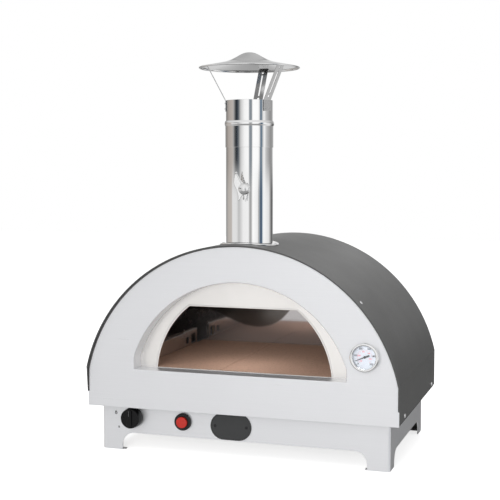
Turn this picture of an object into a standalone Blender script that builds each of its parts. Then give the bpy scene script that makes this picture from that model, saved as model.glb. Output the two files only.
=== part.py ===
"""Arched table-top oven for wood and gas, built as separate pieces in metres, +Z up, front towards -Y."""

from math import acos, asin, atan2, cos, hypot, pi, radians, sin, sqrt, tan

import bmesh
import bpy
from mathutils import Matrix, Vector

# Fits shared by all pieces
GAP = 0.0003
OVERRUN = 0.005
MERGE_DISTANCE = 0.000002
SHEET = 0.0015
ARC_STEPS = 30
ROUND_STEPS = 28
SMALL_ROUND_STEPS = 16
SCREW_ROUND_STEPS = 8

# Base frame with its four feet
BASE_SIDE_INSET = 0.0234
BASE_REAR_INSET = 0.0426
BASE_FRONT_Y = 0.0254
BASE_HEIGHT = 0.1017
BASE_SHEET = 0.002
BASE_CORNER_RADIUS = 0.006
LEG_HEIGHT = 0.0395
LEG_WIDTH = 0.049
LEG_SIDE_WIDTH = 0.046
LEG_SIDE_HEIGHT = 0.035
LEG_ARCH_RADIUS = 0.028
FOOT_FLANGE_DEPTH = 0.014
FOOT_FLANGE_TAB = 0.005
BASE_TOP_FLANGE = 0.018

# Outer shell, which the width and height of the body follow
SHELL_HALF_WIDTH = 0.352
SHELL_REAR_Y = 0.4615
SHELL_LIFT = 0.0044
SHELL_SIDE_HEIGHT = 0.0839
ARCH_CENTRE_RISE = 0.002
LIP_OVERHANG = 0.008
LIP_FOOT_OVERHANG = 0.003
SHELL_FLANGE_WIDTH = 0.022

# Front panel
PANEL_THICKNESS = 0.002
PANEL_SIDE_INSET = 0.0032
PANEL_SIDE_HEIGHT = 0.0804
PANEL_EAR_INSET = 0.0005
PANEL_EAR_HEIGHT = 0.032
PANEL_BORDER = 0.1082
SILL_HEIGHT = 0.0873
CUTOUT_SIDE_HEIGHT = 0.0268
CUTOUT_CENTRE_DROP = 0.0542
RETURN_DEPTH = 0.0388

# Inner front wall with the mouth
MOUTH_STEP = 0.0534
MOUTH_TOP_DROP = 0.0418
MOUTH_CENTRE_DROP = 0.0177
MOUTH_HEM_WIDTH = 0.005
MOUTH_HEM_THICKNESS = 0.0012

# Cooking chamber and insulation
WALL_DEPTH = 0.0354
REAR_WALL_DEPTH = 0.0125
STONE_THICKNESS = 0.030
STONE_RISE = 0.0012
STONE_LEFT_WIDTH = 0.1867
BLANKET_CLEARANCE = 0.0021
PAN_FLANGE_HEIGHT = 0.020
REAR_PANEL_SETBACK = 0.001
REAR_PANEL_FLANGE = 0.009

# Gas burner and its guard
GUARD_INSET = 0.0813
GUARD_HEIGHT = 0.0355
GUARD_REAR_GAP = 0.003
GUARD_TOP_FLANGE = 0.014
GUARD_FOOT_FLANGE = 0.012
BURNER_OFFSET = 0.0275
BURNER_RADIUS = 0.0125
BURNER_RISE = 0.017
BURNER_FRONT_GAP = 0.0641
BURNER_REAR_GAP = 0.012
BURNER_BEND_RADIUS = 0.020
BURNER_TAIL = 0.0127
PORT_COUNT = 12
PORT_WIDTH = 0.002
PORT_DEPTH = 0.003
INJECTOR_RADIUS = 0.006
INJECTOR_LENGTH = 0.010
BRACKET_REAR_GAP = 0.0455
BRACKET_LENGTH = 0.080
BRACKET_REACH = 0.045
BRACKET_HEIGHT = 0.067
BRACKET_TOP_TAB = 0.010
THERMOCOUPLE_RADIUS = 0.0025
THERMOCOUPLE_RISE = 0.030
ELECTRODE_SHIFT = 0.0085
ELECTRODE_RADIUS = 0.0035
ELECTRODE_RISE = 0.022
ELECTRODE_WIRE_RADIUS = 0.0012
ELECTRODE_WIRE_LENGTH = 0.014
ELECTRODE_WIRE_REACH = 0.006
PROBE_TAIL = 0.018
LEAD_RADIUS = 0.0015
LEAD_BEND_RADIUS = 0.012
LEAD_DROP = 0.0168
LEAD_RUN = 0.1113

# Gas valve, supply and knob
KNOB_SHIFT = 0.0165
KNOB_HEADROOM = 0.0019
KNOB_RADIUS = 0.023
KNOB_SKIRT_DEPTH = 0.008
KNOB_DEPTH = 0.0258
KNOB_BODY_STEP = 0.0035
KNOB_GRIP_WIDTH = 0.013
KNOB_GRIP_INSET = 0.0015
KNOB_GRIP_DEPTH = 0.014
KNOB_STANDOFF = 0.0042
KNOB_EDGE_ROUND = 0.0016
STEM_RADIUS = 0.004
STEM_SOCKET_DEPTH = 0.016
VALVE_RADIUS = 0.016
VALVE_LENGTH = 0.035
VALVE_BORE_RADIUS = 0.0063
VALVE_BORE_DEPTH = 0.030
PLUNGER_LENGTH = 0.012
PLUNGER_TRAVEL_ROOM = 0.005
PIPE_RADIUS = 0.004
PIPE_BEND_RADIUS = 0.010
FEED_DROP = 0.0113
SUPPLY_RISE = 0.0087
TAP_SHIFT = 0.006
TAP_DROP = 0.0045
INLET_LENGTH = 0.050
INLET_RADIUS = 0.006
INLET_NUT_RADIUS = 0.011
INLET_NUT_LENGTH = 0.009
INLET_BARB_RADIUS = 0.0072
INLET_BARB_LENGTH = 0.006
INLET_BARB_COUNT = 3
INLET_INSIDE = 0.019

# Piezo igniter
IGNITER_SPACING = 0.1186
IGNITER_DROP = 0.0275
BEZEL_RADIUS = 0.0190
BEZEL_DEPTH = 0.008
BEZEL_CUP_FLOOR = 0.0012
BEZEL_NECK_RADIUS = 0.0117
BEZEL_NECK_LENGTH = 0.015
BEZEL_EDGE_ROUND = 0.0015
BUTTON_RADIUS = 0.0135
BUTTON_CLEARANCE = 0.0004
BUTTON_PROUD = 0.0053
BUTTON_CAP_DEPTH = 0.0068
BUTTON_STEM_RADIUS = 0.006
BUTTON_STEM_LENGTH = 0.026
BUTTON_EDGE_ROUND = 0.0018
PIEZO_RADIUS = 0.011
PIEZO_LENGTH = 0.048
PIEZO_BORE_DEPTH = 0.012
NUT_RADIUS = 0.016
NUT_LENGTH = 0.007

# Badge plate
BADGE_SPACING = 0.1112
BADGE_WIDTH = 0.0935
BADGE_HEIGHT = 0.059
BADGE_HEADROOM = 0.0012
BADGE_THICKNESS = 0.0025
BADGE_SCREW_INSET = 0.01075
BADGE_ROUND_STEPS = 12

# Thermometer
THERMO_EDGE = 0.0688
THERMO_RISE = 0.0557
THERMO_RADIUS = 0.0308
THERMO_DEPTH = 0.0145
THERMO_RIM = 0.0048
THERMO_LIP = 0.0015
THERMO_LIP_DEPTH = 0.0027
THERMO_FLOOR = 0.0037
THERMO_BEAD = 0.003
THERMO_NECK_RADIUS = 0.0095
THERMO_NECK_LENGTH = 0.012
THERMO_NUT_RADIUS = 0.014
THERMO_NUT_LENGTH = 0.006
DIAL_THICKNESS = 0.0008
GLASS_THICKNESS = 0.0015
NEEDLE_TIP_GAP = 0.004
NEEDLE_TAIL = 0.011
NEEDLE_TIP_HALF_WIDTH = 0.0004
NEEDLE_ROOT_HALF_WIDTH = 0.0009
NEEDLE_TAIL_HALF_WIDTH = 0.0015
NEEDLE_THICKNESS = 0.0006
NEEDLE_HUB_RADIUS = 0.0027
NEEDLE_HUB_LENGTH = 0.0036
NEEDLE_REST_ANGLE = radians(202.7)
PROBE_RADIUS = 0.0032
PROBE_REACH = 0.0371

# Flue, damper and rain cap
FLUE_RADIUS = 0.0512
FLUE_WALL = 0.001
SLEEVE_CLEARANCE = 0.005
SLEEVE_EDGE = 0.0019
SLEEVE_ABOVE_SHELL = 0.0352
SLEEVE_BELOW_VAULT = 0.005
FLANGE_BRIM = 0.0133
FLANGE_RISE = 0.0025
FLANGE_DEPTH = 0.012
FLANGE_SCREW_INSET = 0.0044
LOWER_PIPE_LENGTH = 0.2048
PIPE_SOCKET_LENGTH = 0.027
UPPER_PIPE_LENGTH = 0.0455
BEAD_HEIGHT = 0.0117
BEAD_RISE = 0.0016
COLLAR_HEIGHT = 0.0443
COLLAR_HEM = 0.0008
COLLAR_HEM_HEIGHT = 0.0024
DAMPER_RISE = 0.1157
DAMPER_TURN = radians(9.0)
FLAP_CLEARANCE = 0.0018
FLAP_THICKNESS = 0.0015
SHAFT_RADIUS = 0.004
SHAFT_BACK_REACH = 0.0042
SHAFT_SOCKET_DEPTH = 0.006
HANDLE_REACH = 0.0162
HANDLE_THICKNESS = 0.004
HANDLE_HUB_RADIUS = 0.0125
HANDLE_HUB_RISE = 0.007
HANDLE_BALL_RADIUS = 0.0026
HANDLE_RIB_RADIUS = 0.0015
HANDLE_OUTLINE_SHARES = (
    (-1.50, 2.75), (-1.28, 2.62), (-0.72, 1.72), (-0.12, 0.98), (0.62, 0.74), (0.98, 0.20), (0.95, -0.45),
    (0.55, -0.95), (0.40, -1.60), (0.22, -2.15), (0.02, -1.60), (-0.08, -1.12), (-0.30, -1.10), (-0.55, -1.45),
    (-0.85, -1.95), (-1.08, -1.88), (-1.05, -1.20), (-1.30, -0.20), (-1.72, 0.75), (-1.80, 1.55),
)
CAP_RADIUS = 0.110
CAP_LIFT = 0.0719
CAP_HEIGHT = 0.0319
CAP_SHEET = 0.001
CAP_ROLL_RADIUS = 0.0017
CAP_PROFILE_SHARES = (
    (1.0, 0.0), (0.509, 0.329), (0.391, 0.462), (0.273, 0.658), (0.195, 0.812), (0.118, 0.934), (0.059, 0.984),
    (0.0, 1.0),
)
STRAP_WIDTH = 0.022
STRAP_THICKNESS = 0.0012
STRAP_FOOT = 0.024
STRAP_RIM_GAP = 0.0195
STRAP_TAB = 0.012
STRAP_SLOT_WIDTH = 0.005
STRAP_SLOT_END = 0.012
STRAP_ANGLES = {"strap_left": radians(200.0), "strap_right": radians(335.0), "strap_rear": radians(88.0)}

# Screws
SCREW_HEAD_RADIUS = 0.0044
SCREW_HEAD_HEIGHT = 0.0024
SCREW_HEAD_CROWN_RADIUS = 0.0030
SCREW_SHANK_RADIUS = 0.0019
SMALL_SCREW_HEAD_RADIUS = 0.0032
SMALL_SCREW_HEAD_HEIGHT = 0.0018
SMALL_SCREW_CROWN_RADIUS = 0.0021
SMALL_SCREW_SHANK_RADIUS = 0.0014
SIDE_SCREW_FRONT_Y = 0.0576
SIDE_SCREW_REAR_EDGE = 0.0466
SIDE_SCREW_RISE = 0.0127

# Sizes that follow from the ones above
BASE_HALF_WIDTH = SHELL_HALF_WIDTH - BASE_SIDE_INSET
BASE_REAR_Y = SHELL_REAR_Y - BASE_REAR_INSET
PANEL_BOTTOM = BASE_HEIGHT + GAP
PANEL_HALF_WIDTH = SHELL_HALF_WIDTH - PANEL_SIDE_INSET
PANEL_EAR_HALF_WIDTH = SHELL_HALF_WIDTH - PANEL_EAR_INSET
PANEL_EAR_TOP = PANEL_BOTTOM + PANEL_EAR_HEIGHT
SHELL_BOTTOM = PANEL_BOTTOM + SHELL_LIFT
SHELL_KINK = SHELL_BOTTOM + SHELL_SIDE_HEIGHT
ARCH_CENTRE = SHELL_BOTTOM + ARCH_CENTRE_RISE
SHELL_RADIUS = hypot(SHELL_HALF_WIDTH, SHELL_KINK - ARCH_CENTRE)
PANEL_RADIUS = hypot(PANEL_HALF_WIDTH, PANEL_BOTTOM + PANEL_SIDE_HEIGHT - ARCH_CENTRE)
SHELL_TOP = ARCH_CENTRE + SHELL_RADIUS
SHELL_INNER_HALF = SHELL_HALF_WIDTH - SHEET
SHELL_INNER_RADIUS = SHELL_RADIUS - SHEET
SHELL_FLANGE_Y = PANEL_THICKNESS + GAP
CUTOUT_BOTTOM = PANEL_BOTTOM + SILL_HEIGHT
CUTOUT_RADIUS = SHELL_RADIUS - PANEL_BORDER
MOUTH_RADIUS = CUTOUT_RADIUS - MOUTH_STEP
MOUTH_PLATE_Y = RETURN_DEPTH + GAP
MOUTH_BACK_Y = MOUTH_PLATE_Y + SHEET
CHAMBER_FRONT_Y = MOUTH_BACK_Y + GAP
REAR_PANEL_Y = SHELL_REAR_Y - REAR_PANEL_SETBACK - REAR_PANEL_FLANGE - SHEET
REAR_WALL_Y = REAR_PANEL_Y - REAR_WALL_DEPTH
REAR_WALL_BACK_Y = REAR_WALL_Y + SHEET
PAN_FRONT_Y = SHELL_FLANGE_Y + SHEET + GAP
PAN_BOTTOM = BASE_HEIGHT + 2 * GAP
PAN_TOP = PAN_BOTTOM + SHEET
PAN_REAR_Y = REAR_PANEL_Y - GAP
STONE_TOP = CUTOUT_BOTTOM + STONE_RISE
STONE_BOTTOM = STONE_TOP - STONE_THICKNESS
DECK_TOP = STONE_BOTTOM - GAP
DECK_BOTTOM = DECK_TOP - SHEET
BOARD_TOP = DECK_BOTTOM - GAP
BOARD_BOTTOM = PAN_TOP + GAP
VAULT_RADIUS = SHELL_RADIUS - WALL_DEPTH
VAULT_INNER_RADIUS = VAULT_RADIUS - SHEET
VAULT_FOOT_HALF = sqrt(VAULT_RADIUS ** 2 - (STONE_BOTTOM - ARCH_CENTRE) ** 2)
BLANKET_HALF = SHELL_INNER_HALF - BLANKET_CLEARANCE
BLANKET_RADIUS = SHELL_INNER_RADIUS - BLANKET_CLEARANCE
GUARD_X = GUARD_INSET - VAULT_FOOT_HALF
BRACKET_Y = REAR_WALL_Y - BRACKET_REAR_GAP - BRACKET_LENGTH
BURNER_X = GUARD_X - BURNER_OFFSET
BURNER_Z = STONE_TOP + BURNER_RISE
BURNER_FRONT_Y = CHAMBER_FRONT_Y + BURNER_FRONT_GAP
BURNER_REAR_Y = BRACKET_Y - BURNER_REAR_GAP
BURNER_BOTTOM = PAN_BOTTOM - BURNER_TAIL
STONE_SEAM_X = GUARD_X + STONE_LEFT_WIDTH
KNOB_X = BURNER_X + KNOB_SHIFT
KNOB_Z = BASE_HEIGHT - KNOB_HEADROOM - KNOB_RADIUS
KNOB_REAR_Y = BASE_FRONT_Y - KNOB_STANDOFF
KNOB_FRONT_Y = KNOB_REAR_Y - KNOB_DEPTH
THERMOCOUPLE_X = KNOB_X + TAP_SHIFT
ELECTRODE_X = KNOB_X - ELECTRODE_SHIFT
PROBE_Y = BRACKET_Y + BRACKET_LENGTH / 2
PROBE_BOTTOM = STONE_BOTTOM - PROBE_TAIL
VALVE_FRONT_Y = BASE_FRONT_Y + BASE_SHEET + GAP
VALVE_REAR_Y = VALVE_FRONT_Y + VALVE_LENGTH
IGNITER_X = KNOB_X + IGNITER_SPACING
IGNITER_Z = BASE_HEIGHT - IGNITER_DROP
BADGE_X = IGNITER_X + BADGE_SPACING
BADGE_Z = BASE_HEIGHT - BADGE_HEADROOM - BADGE_HEIGHT / 2
BADGE_SCREW_HALF = BADGE_WIDTH / 2 - BADGE_SCREW_INSET
THERMO_X = PANEL_HALF_WIDTH - THERMO_EDGE
THERMO_Z = CUTOUT_BOTTOM + THERMO_RISE
THERMO_FRONT_Y = -GAP - THERMO_DEPTH
THERMO_CAVITY_RADIUS = THERMO_RADIUS - THERMO_RIM
FLUE_INNER_RADIUS = FLUE_RADIUS - FLUE_WALL
SLEEVE_RADIUS = FLUE_INNER_RADIUS - SLEEVE_CLEARANCE
FLUE_Y = CHAMBER_FRONT_Y + SLEEVE_EDGE + SLEEVE_RADIUS
FLANGE_RADIUS = FLUE_RADIUS + FLANGE_BRIM
FLANGE_TOP = SHELL_TOP + FLANGE_RISE
FLANGE_SCREW_X = FLANGE_RADIUS - FLANGE_SCREW_INSET
FLANGE_SCREW_LEAN = asin(FLANGE_SCREW_X / SHELL_RADIUS)
FLANGE_SCREW_LENGTH = FLANGE_RISE + SHEET + BLANKET_CLEARANCE / 2
PIPE_JOINT_Z = FLANGE_TOP + LOWER_PIPE_LENGTH
UPPER_PIPE_RADIUS = FLUE_RADIUS + GAP + FLUE_WALL
BEAD_Z = PIPE_JOINT_Z + UPPER_PIPE_LENGTH
BEAD_TOP = BEAD_Z + BEAD_HEIGHT
COLLAR_TOP = BEAD_TOP + COLLAR_HEIGHT
DAMPER_Z = FLANGE_TOP + DAMPER_RISE
CAP_RIM_Z = COLLAR_TOP + CAP_LIFT
STRAP_TOP_RADIUS = CAP_RADIUS - STRAP_RIM_GAP
SCREW_SHANK_LENGTH = 2 * (SHEET + GAP)
SIDE_SCREW_REAR_Y = SHELL_REAR_Y - SIDE_SCREW_REAR_EDGE
SIDE_SCREW_Z = PAN_BOTTOM + SIDE_SCREW_RISE
FRONT_EDGE_Y = min(FLUE_Y - CAP_RADIUS, -LIP_OVERHANG, THERMO_FRONT_Y, KNOB_FRONT_Y)
INLET_END_Y = BASE_REAR_Y - BASE_SHEET - INLET_INSIDE + INLET_LENGTH
REAR_EDGE_Y = max(SHELL_REAR_Y, INLET_END_Y)
MIDDLE_Y = (FRONT_EDGE_Y + REAR_EDGE_Y) / 2


# Materials

def make_material(name, colour, roughness, metallic=0.0, alpha=1.0):
    """Return a Principled material."""
    material = bpy.data.materials.new(name)
    material.use_nodes = True
    shader = material.node_tree.nodes["Principled BSDF"]
    shader.inputs["Base Color"].default_value = (*colour, 1.0)
    shader.inputs["Roughness"].default_value = roughness
    shader.inputs["Metallic"].default_value = metallic
    shader.inputs["Alpha"].default_value = alpha
    material.diffuse_color = (*colour, alpha)
    return material


def steel(name):
    return make_material(name, (0.74, 0.74, 0.75), 0.32, 1.0)


def polished(name):
    return make_material(name, (0.80, 0.80, 0.81), 0.08, 1.0)


def paint(name):
    return make_material(name, (0.105, 0.105, 0.108), 0.55)


def black(name):
    return make_material(name, (0.012, 0.012, 0.013), 0.25)


def brass(name):
    return make_material(name, (0.62, 0.44, 0.18), 0.35, 1.0)


def wool(name):
    return make_material(name, (0.80, 0.79, 0.76), 0.95)


def stone(name):
    return make_material(name, (0.52, 0.33, 0.23), 0.90)


# Object and mesh helpers

def clear_scene():
    """Remove every object that the file starts with."""
    for item in list(bpy.data.objects):
        bpy.data.objects.remove(item, do_unlink=True)


def add_empty(name, location, parent=None):
    """Add an empty that carries other objects."""
    empty = bpy.data.objects.new(name, None)
    empty.location = location
    empty.parent = parent
    bpy.context.scene.collection.objects.link(empty)
    return empty


def add_object(name, mesh, parent, material=None):
    """Link a mesh object under its parent and give it its material."""
    item = bpy.data.objects.new(name, mesh)
    bpy.context.scene.collection.objects.link(item)
    item.parent = parent
    if material is not None:
        item.data.materials.append(material(name + "_material"))
    return item


def mesh_from(bm, name):
    """Close a bmesh into a mesh with outward normals."""
    bmesh.ops.remove_doubles(bm, verts=bm.verts, dist=MERGE_DISTANCE)
    bmesh.ops.recalc_face_normals(bm, faces=bm.faces)
    mesh = bpy.data.meshes.new(name)
    bm.to_mesh(mesh)
    bm.free()
    return mesh


def prism_bmesh(outline, depth, axis):
    """Extrude a closed outline: (x, z) pairs along y, (x, y) pairs along z, (y, z) pairs along x."""
    place = {
        "y": lambda p: (p[0], depth[0], p[1]),
        "z": lambda p: (p[0], p[1], depth[0]),
        "x": lambda p: (depth[0], p[0], p[1]),
    }[axis]
    shift = {"y": (0, 1, 0), "z": (0, 0, 1), "x": (1, 0, 0)}[axis]
    bm = bmesh.new()
    face = bm.faces.new([bm.verts.new(place(point)) for point in outline])
    result = bmesh.ops.extrude_face_region(bm, geom=[face])
    moved = [item for item in result["geom"] if isinstance(item, bmesh.types.BMVert)]
    bmesh.ops.translate(bm, verts=moved, vec=Vector(shift) * (depth[1] - depth[0]))
    return bm


def prism(name, outline, depth, axis="y"):
    return mesh_from(prism_bmesh(outline, depth, axis), name)


def box(name, xs, ys, zs):
    """Return a box mesh between three pairs of limits."""
    return prism(name, [(xs[0], zs[0]), (xs[1], zs[0]), (xs[1], zs[1]), (xs[0], zs[1])], ys)


def revolve(name, profile, steps=ROUND_STEPS):
    """Spin a closed (radius, height) profile about the z axis."""
    bm = bmesh.new()
    verts = [bm.verts.new((radius, 0, height)) for radius, height in profile]
    edges = [bm.edges.new((verts[i - 1], verts[i])) for i in range(len(verts))]
    axis_edges = [e for e in edges if all(abs(v.co.x) < MERGE_DISTANCE for v in e.verts)]
    edges = [e for e in edges if e not in axis_edges]
    bmesh.ops.delete(bm, geom=axis_edges, context="EDGES_FACES")
    bmesh.ops.spin(bm, geom=verts + edges, cent=(0, 0, 0), axis=(0, 0, 1), angle=2 * pi,
                   steps=steps, use_merge=True)
    return mesh_from(bm, name)


def cylinder(name, radius, depth, steps=SMALL_ROUND_STEPS):
    """Return a solid cylinder about z between two heights."""
    return revolve(name, [(0, depth[0]), (radius, depth[0]), (radius, depth[1]), (0, depth[1])], steps)


def turn_to_y(mesh, x=0.0, z=0.0):
    """Turn a z-axis mesh so that its height runs along +y, then move it to (x, z)."""
    mesh.transform(Matrix.Rotation(-pi / 2, 4, "X"))
    mesh.transform(Matrix.Translation((x, 0, z)))
    return mesh


def along_y(name, radius, ys, x=0.0, z=0.0, steps=SMALL_ROUND_STEPS):
    """Return a solid cylinder along y at (x, z)."""
    return turn_to_y(cylinder(name, radius, ys, steps), x, z)


def moved(mesh, offset):
    mesh.transform(Matrix.Translation(offset))
    return mesh


def bake(item, mesh, operation):
    """Combine a mesh with an object by one exact boolean and keep the result as its mesh."""
    tool = bpy.data.objects.new(item.name + "_tool", mesh)
    bpy.context.scene.collection.objects.link(tool)
    tool.parent = item.parent
    modifier = item.modifiers.new("combine", "BOOLEAN")
    modifier.operation = operation
    modifier.solver = "EXACT"
    modifier.object = tool
    bpy.context.view_layer.update()
    graph = bpy.context.evaluated_depsgraph_get()
    result = bpy.data.meshes.new_from_object(item.evaluated_get(graph), depsgraph=graph)
    item.modifiers.remove(modifier)
    old = item.data
    result.name = old.name
    item.data = result
    bpy.data.objects.remove(tool, do_unlink=True)
    bpy.data.meshes.remove(old)
    bpy.data.meshes.remove(mesh)


def cut(item, *meshes):
    for mesh in meshes:
        bake(item, mesh, "DIFFERENCE")


def join(item, *meshes):
    for mesh in meshes:
        bake(item, mesh, "UNION")


def shade_round(item, angle=radians(32.0)):
    """Shade a turned piece smooth, with its sharp edges kept."""
    mesh = item.data
    for polygon in mesh.polygons:
        polygon.use_smooth = True
    mesh.set_sharp_from_angle(angle=angle)


def fillet_path(points, radius, steps=4):
    """Return a path with its inner corners rounded."""
    corners = [Vector(point) for point in points]
    path = [corners[0]]
    for before, corner, after in zip(corners, corners[1:], corners[2:]):
        to_before = (before - corner).normalized()
        to_after = (after - corner).normalized()
        half = to_before.angle(to_after) / 2
        reach = min(radius / tan(half), (before - corner).length / 2, (after - corner).length / 2)
        arc_radius = reach * tan(half)
        centre = corner + (to_before + to_after).normalized() * (arc_radius / sin(half))
        start = corner + to_before * reach - centre
        end = corner + to_after * reach - centre
        sweep = start.angle(end)
        for index in range(steps + 1):
            share = index / steps
            blend = start * (sin((1 - share) * sweep) / sin(sweep)) + end * (sin(share * sweep) / sin(sweep))
            path.append(centre + blend)
    path.append(corners[-1])
    return path


def rod_object(name, points, radius, bend, parent, material):
    """Add a bent rod as a bevelled curve with closed ends."""
    path = fillet_path(points, bend)
    curve = bpy.data.curves.new(name, "CURVE")
    curve.dimensions = "3D"
    curve.bevel_depth = radius
    curve.bevel_resolution = 1
    curve.use_fill_caps = True
    curve.resolution_u = 1
    spline = curve.splines.new("POLY")
    spline.points.add(len(path) - 1)
    for spline_point, point in zip(spline.points, path):
        spline_point.co = (*point, 1.0)
    spline.use_smooth = True
    return add_object(name, curve, parent, material)


# Outlines

def arch_points(radius, centre, start, end, steps=ARC_STEPS):
    """Points of an arc about (0, centre) in the front view."""
    return [
        (radius * cos(start + (end - start) * i / steps), centre + radius * sin(start + (end - start) * i / steps))
        for i in range(steps + 1)
    ]


def arch_outline(half_width, bottom, radius, centre, steps=ARC_STEPS):
    """A round arch on straight legs, from the lower right round to the lower left."""
    start = acos(half_width / radius)
    arc = arch_points(radius, centre, start, pi - start, steps)
    return [(half_width, bottom), *arc, (-half_width, bottom)]


def segment_outline(radius, centre, bottom, steps=ARC_STEPS):
    """A round arch that stands on a level chord."""
    start = asin((bottom - centre) / radius)
    return arch_points(radius, centre, start, pi - start, steps)


def tunnel_outline(outer, inner):
    """Join an outer and an inner arch into one closed wall section, open below."""
    return [*outer, *reversed(inner)]


def shell_outline(inset, bottom):
    return arch_outline(SHELL_HALF_WIDTH - inset, bottom, SHELL_RADIUS - inset, ARCH_CENTRE)


def cutout_outline(offset, bottom):
    """The arched opening of the front panel, grown by an offset."""
    centre = CUTOUT_BOTTOM - CUTOUT_CENTRE_DROP
    rise = CUTOUT_SIDE_HEIGHT + CUTOUT_CENTRE_DROP
    half_width = sqrt(CUTOUT_RADIUS ** 2 - rise ** 2)
    return arch_outline(half_width + offset, bottom, CUTOUT_RADIUS + offset, centre)


def mouth_outline(offset, bottom):
    """The mouth with round sides and a level top, grown by an offset."""
    centre = CUTOUT_BOTTOM - MOUTH_CENTRE_DROP
    radius = MOUTH_RADIUS + offset
    start = asin((bottom - centre) / radius)
    end = asin((MOUTH_RADIUS - MOUTH_TOP_DROP + offset) / radius)
    right = arch_points(radius, centre, start, end, ARC_STEPS // 3)
    return [*right, *[(-x, z) for x, z in reversed(right)]]


def rounded_rectangle(half_x, ys, radius, steps=3):
    """A rectangle in plan with round corners."""
    corners = [
        (half_x - radius, ys[1] - radius, 0),
        (radius - half_x, ys[1] - radius, pi / 2),
        (radius - half_x, ys[0] + radius, pi),
        (half_x - radius, ys[0] + radius, 3 * pi / 2),
    ]
    points = []
    for x, y, start in corners:
        for index in range(steps + 1):
            angle = start + pi / 2 * index / steps
            points.append((x + radius * cos(angle), y + radius * sin(angle)))
    return points


def leg_arch(limits, height, radius, floor, steps=6):
    """The opening between two feet, with round upper corners; floor is its open lower edge."""
    low, high = limits
    points = [(low, floor)]
    for index in range(steps + 1):
        angle = pi - pi / 2 * index / steps
        points.append((low + radius + radius * cos(angle), height - radius + radius * sin(angle)))
    for index in range(steps + 1):
        angle = pi / 2 - pi / 2 * index / steps
        points.append((high - radius + radius * cos(angle), height - radius + radius * sin(angle)))
    points.append((high, floor))
    return points


def stadium(width, height, x, z, steps=BADGE_ROUND_STEPS):
    """A plate outline with fully round ends."""
    radius = height / 2
    half = width / 2 - radius
    right = [(x + half + radius * cos(a), z + radius * sin(a)) for a in
             [-pi / 2 + pi * i / steps for i in range(steps + 1)]]
    left = [(x - half + radius * cos(a), z + radius * sin(a)) for a in
            [pi / 2 + pi * i / steps for i in range(steps + 1)]]
    return right + left


# Body of the oven

def build_base_frame(root):
    """Sheet skirt on four feet, with a flange at the top and under each foot."""
    ys = (BASE_FRONT_Y, BASE_REAR_Y)
    outer = rounded_rectangle(BASE_HALF_WIDTH, ys, BASE_CORNER_RADIUS)
    frame = add_object("base_frame", prism("base_frame", outer, (0, BASE_HEIGHT), "z"), root, steel)
    inner_ys = (ys[0] + BASE_SHEET, ys[1] - BASE_SHEET)
    inner = rounded_rectangle(BASE_HALF_WIDTH - BASE_SHEET, inner_ys, BASE_CORNER_RADIUS - BASE_SHEET)
    cut(frame, prism("bay", inner, (-OVERRUN, BASE_HEIGHT - BASE_SHEET), "z"))
    hole_ys = (ys[0] + BASE_TOP_FLANGE, ys[1] - BASE_TOP_FLANGE)
    hole_half = BASE_HALF_WIDTH - BASE_TOP_FLANGE
    cut(frame, box("well", (-hole_half, hole_half), hole_ys, (0, BASE_HEIGHT + OVERRUN)))
    front_span = (LEG_WIDTH - BASE_HALF_WIDTH, BASE_HALF_WIDTH - LEG_WIDTH)
    front = leg_arch(front_span, LEG_HEIGHT, LEG_ARCH_RADIUS, -OVERRUN)
    cut(frame, prism("front_arch", front, (ys[0] - OVERRUN, ys[1] + OVERRUN)))
    side_span = (ys[0] + LEG_SIDE_WIDTH, ys[1] - LEG_SIDE_WIDTH)
    side = leg_arch(side_span, LEG_SIDE_HEIGHT, LEG_ARCH_RADIUS, -OVERRUN)
    reach = BASE_HALF_WIDTH + OVERRUN
    cut(frame, prism("side_arch", side, (-reach, reach), "x"))
    for x_sign in (-1, 1):
        for y_wall, y_sign in ((ys[0], 1), (ys[1], -1)):
            xs = sorted((x_sign * (BASE_HALF_WIDTH - BASE_SHEET / 2),
                         x_sign * (BASE_HALF_WIDTH - LEG_WIDTH - FOOT_FLANGE_TAB)))
            flange_ys = sorted((y_wall + y_sign * BASE_SHEET / 2, y_wall + y_sign * FOOT_FLANGE_DEPTH))
            join(frame, box("foot_flange", xs, flange_ys, (0, BASE_SHEET)))
    front_wall = (ys[0] - OVERRUN, ys[0] + BASE_SHEET + OVERRUN)
    rear_wall = (ys[1] - BASE_SHEET - OVERRUN, ys[1] + OVERRUN)
    cut(frame, along_y("stem_hole", STEM_RADIUS + GAP, front_wall, KNOB_X, KNOB_Z))
    cut(frame, along_y("igniter_hole", BEZEL_NECK_RADIUS + GAP, front_wall, IGNITER_X, IGNITER_Z))
    for sign in (-1, 1):
        x = BADGE_X + sign * BADGE_SCREW_HALF
        cut(frame, along_y("badge_hole", SMALL_SCREW_SHANK_RADIUS + GAP, front_wall, x, BADGE_Z,
                           SCREW_ROUND_STEPS))
    cut(frame, along_y("inlet_hole", INLET_RADIUS + GAP, rear_wall, KNOB_X, KNOB_Z + SUPPLY_RISE))


def build_floor_pan(root):
    """Tray that closes the body below and takes the shell's side screws."""
    half = SHELL_INNER_HALF - GAP
    top = PAN_BOTTOM + PAN_FLANGE_HEIGHT
    pan = add_object("floor_pan", box("floor_pan", (-half, half), (PAN_FRONT_Y, PAN_REAR_Y), (PAN_BOTTOM, top)),
                     root, steel)
    inner_ys = (PAN_FRONT_Y + SHEET, PAN_REAR_Y - SHEET)
    cut(pan, box("tray", (SHEET - half, half - SHEET), inner_ys, (PAN_TOP, top + OVERRUN)))
    cut(pan, *feed_holes(PAN_BOTTOM, PAN_TOP))
    cut(pan, *side_screw_holes())


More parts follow.
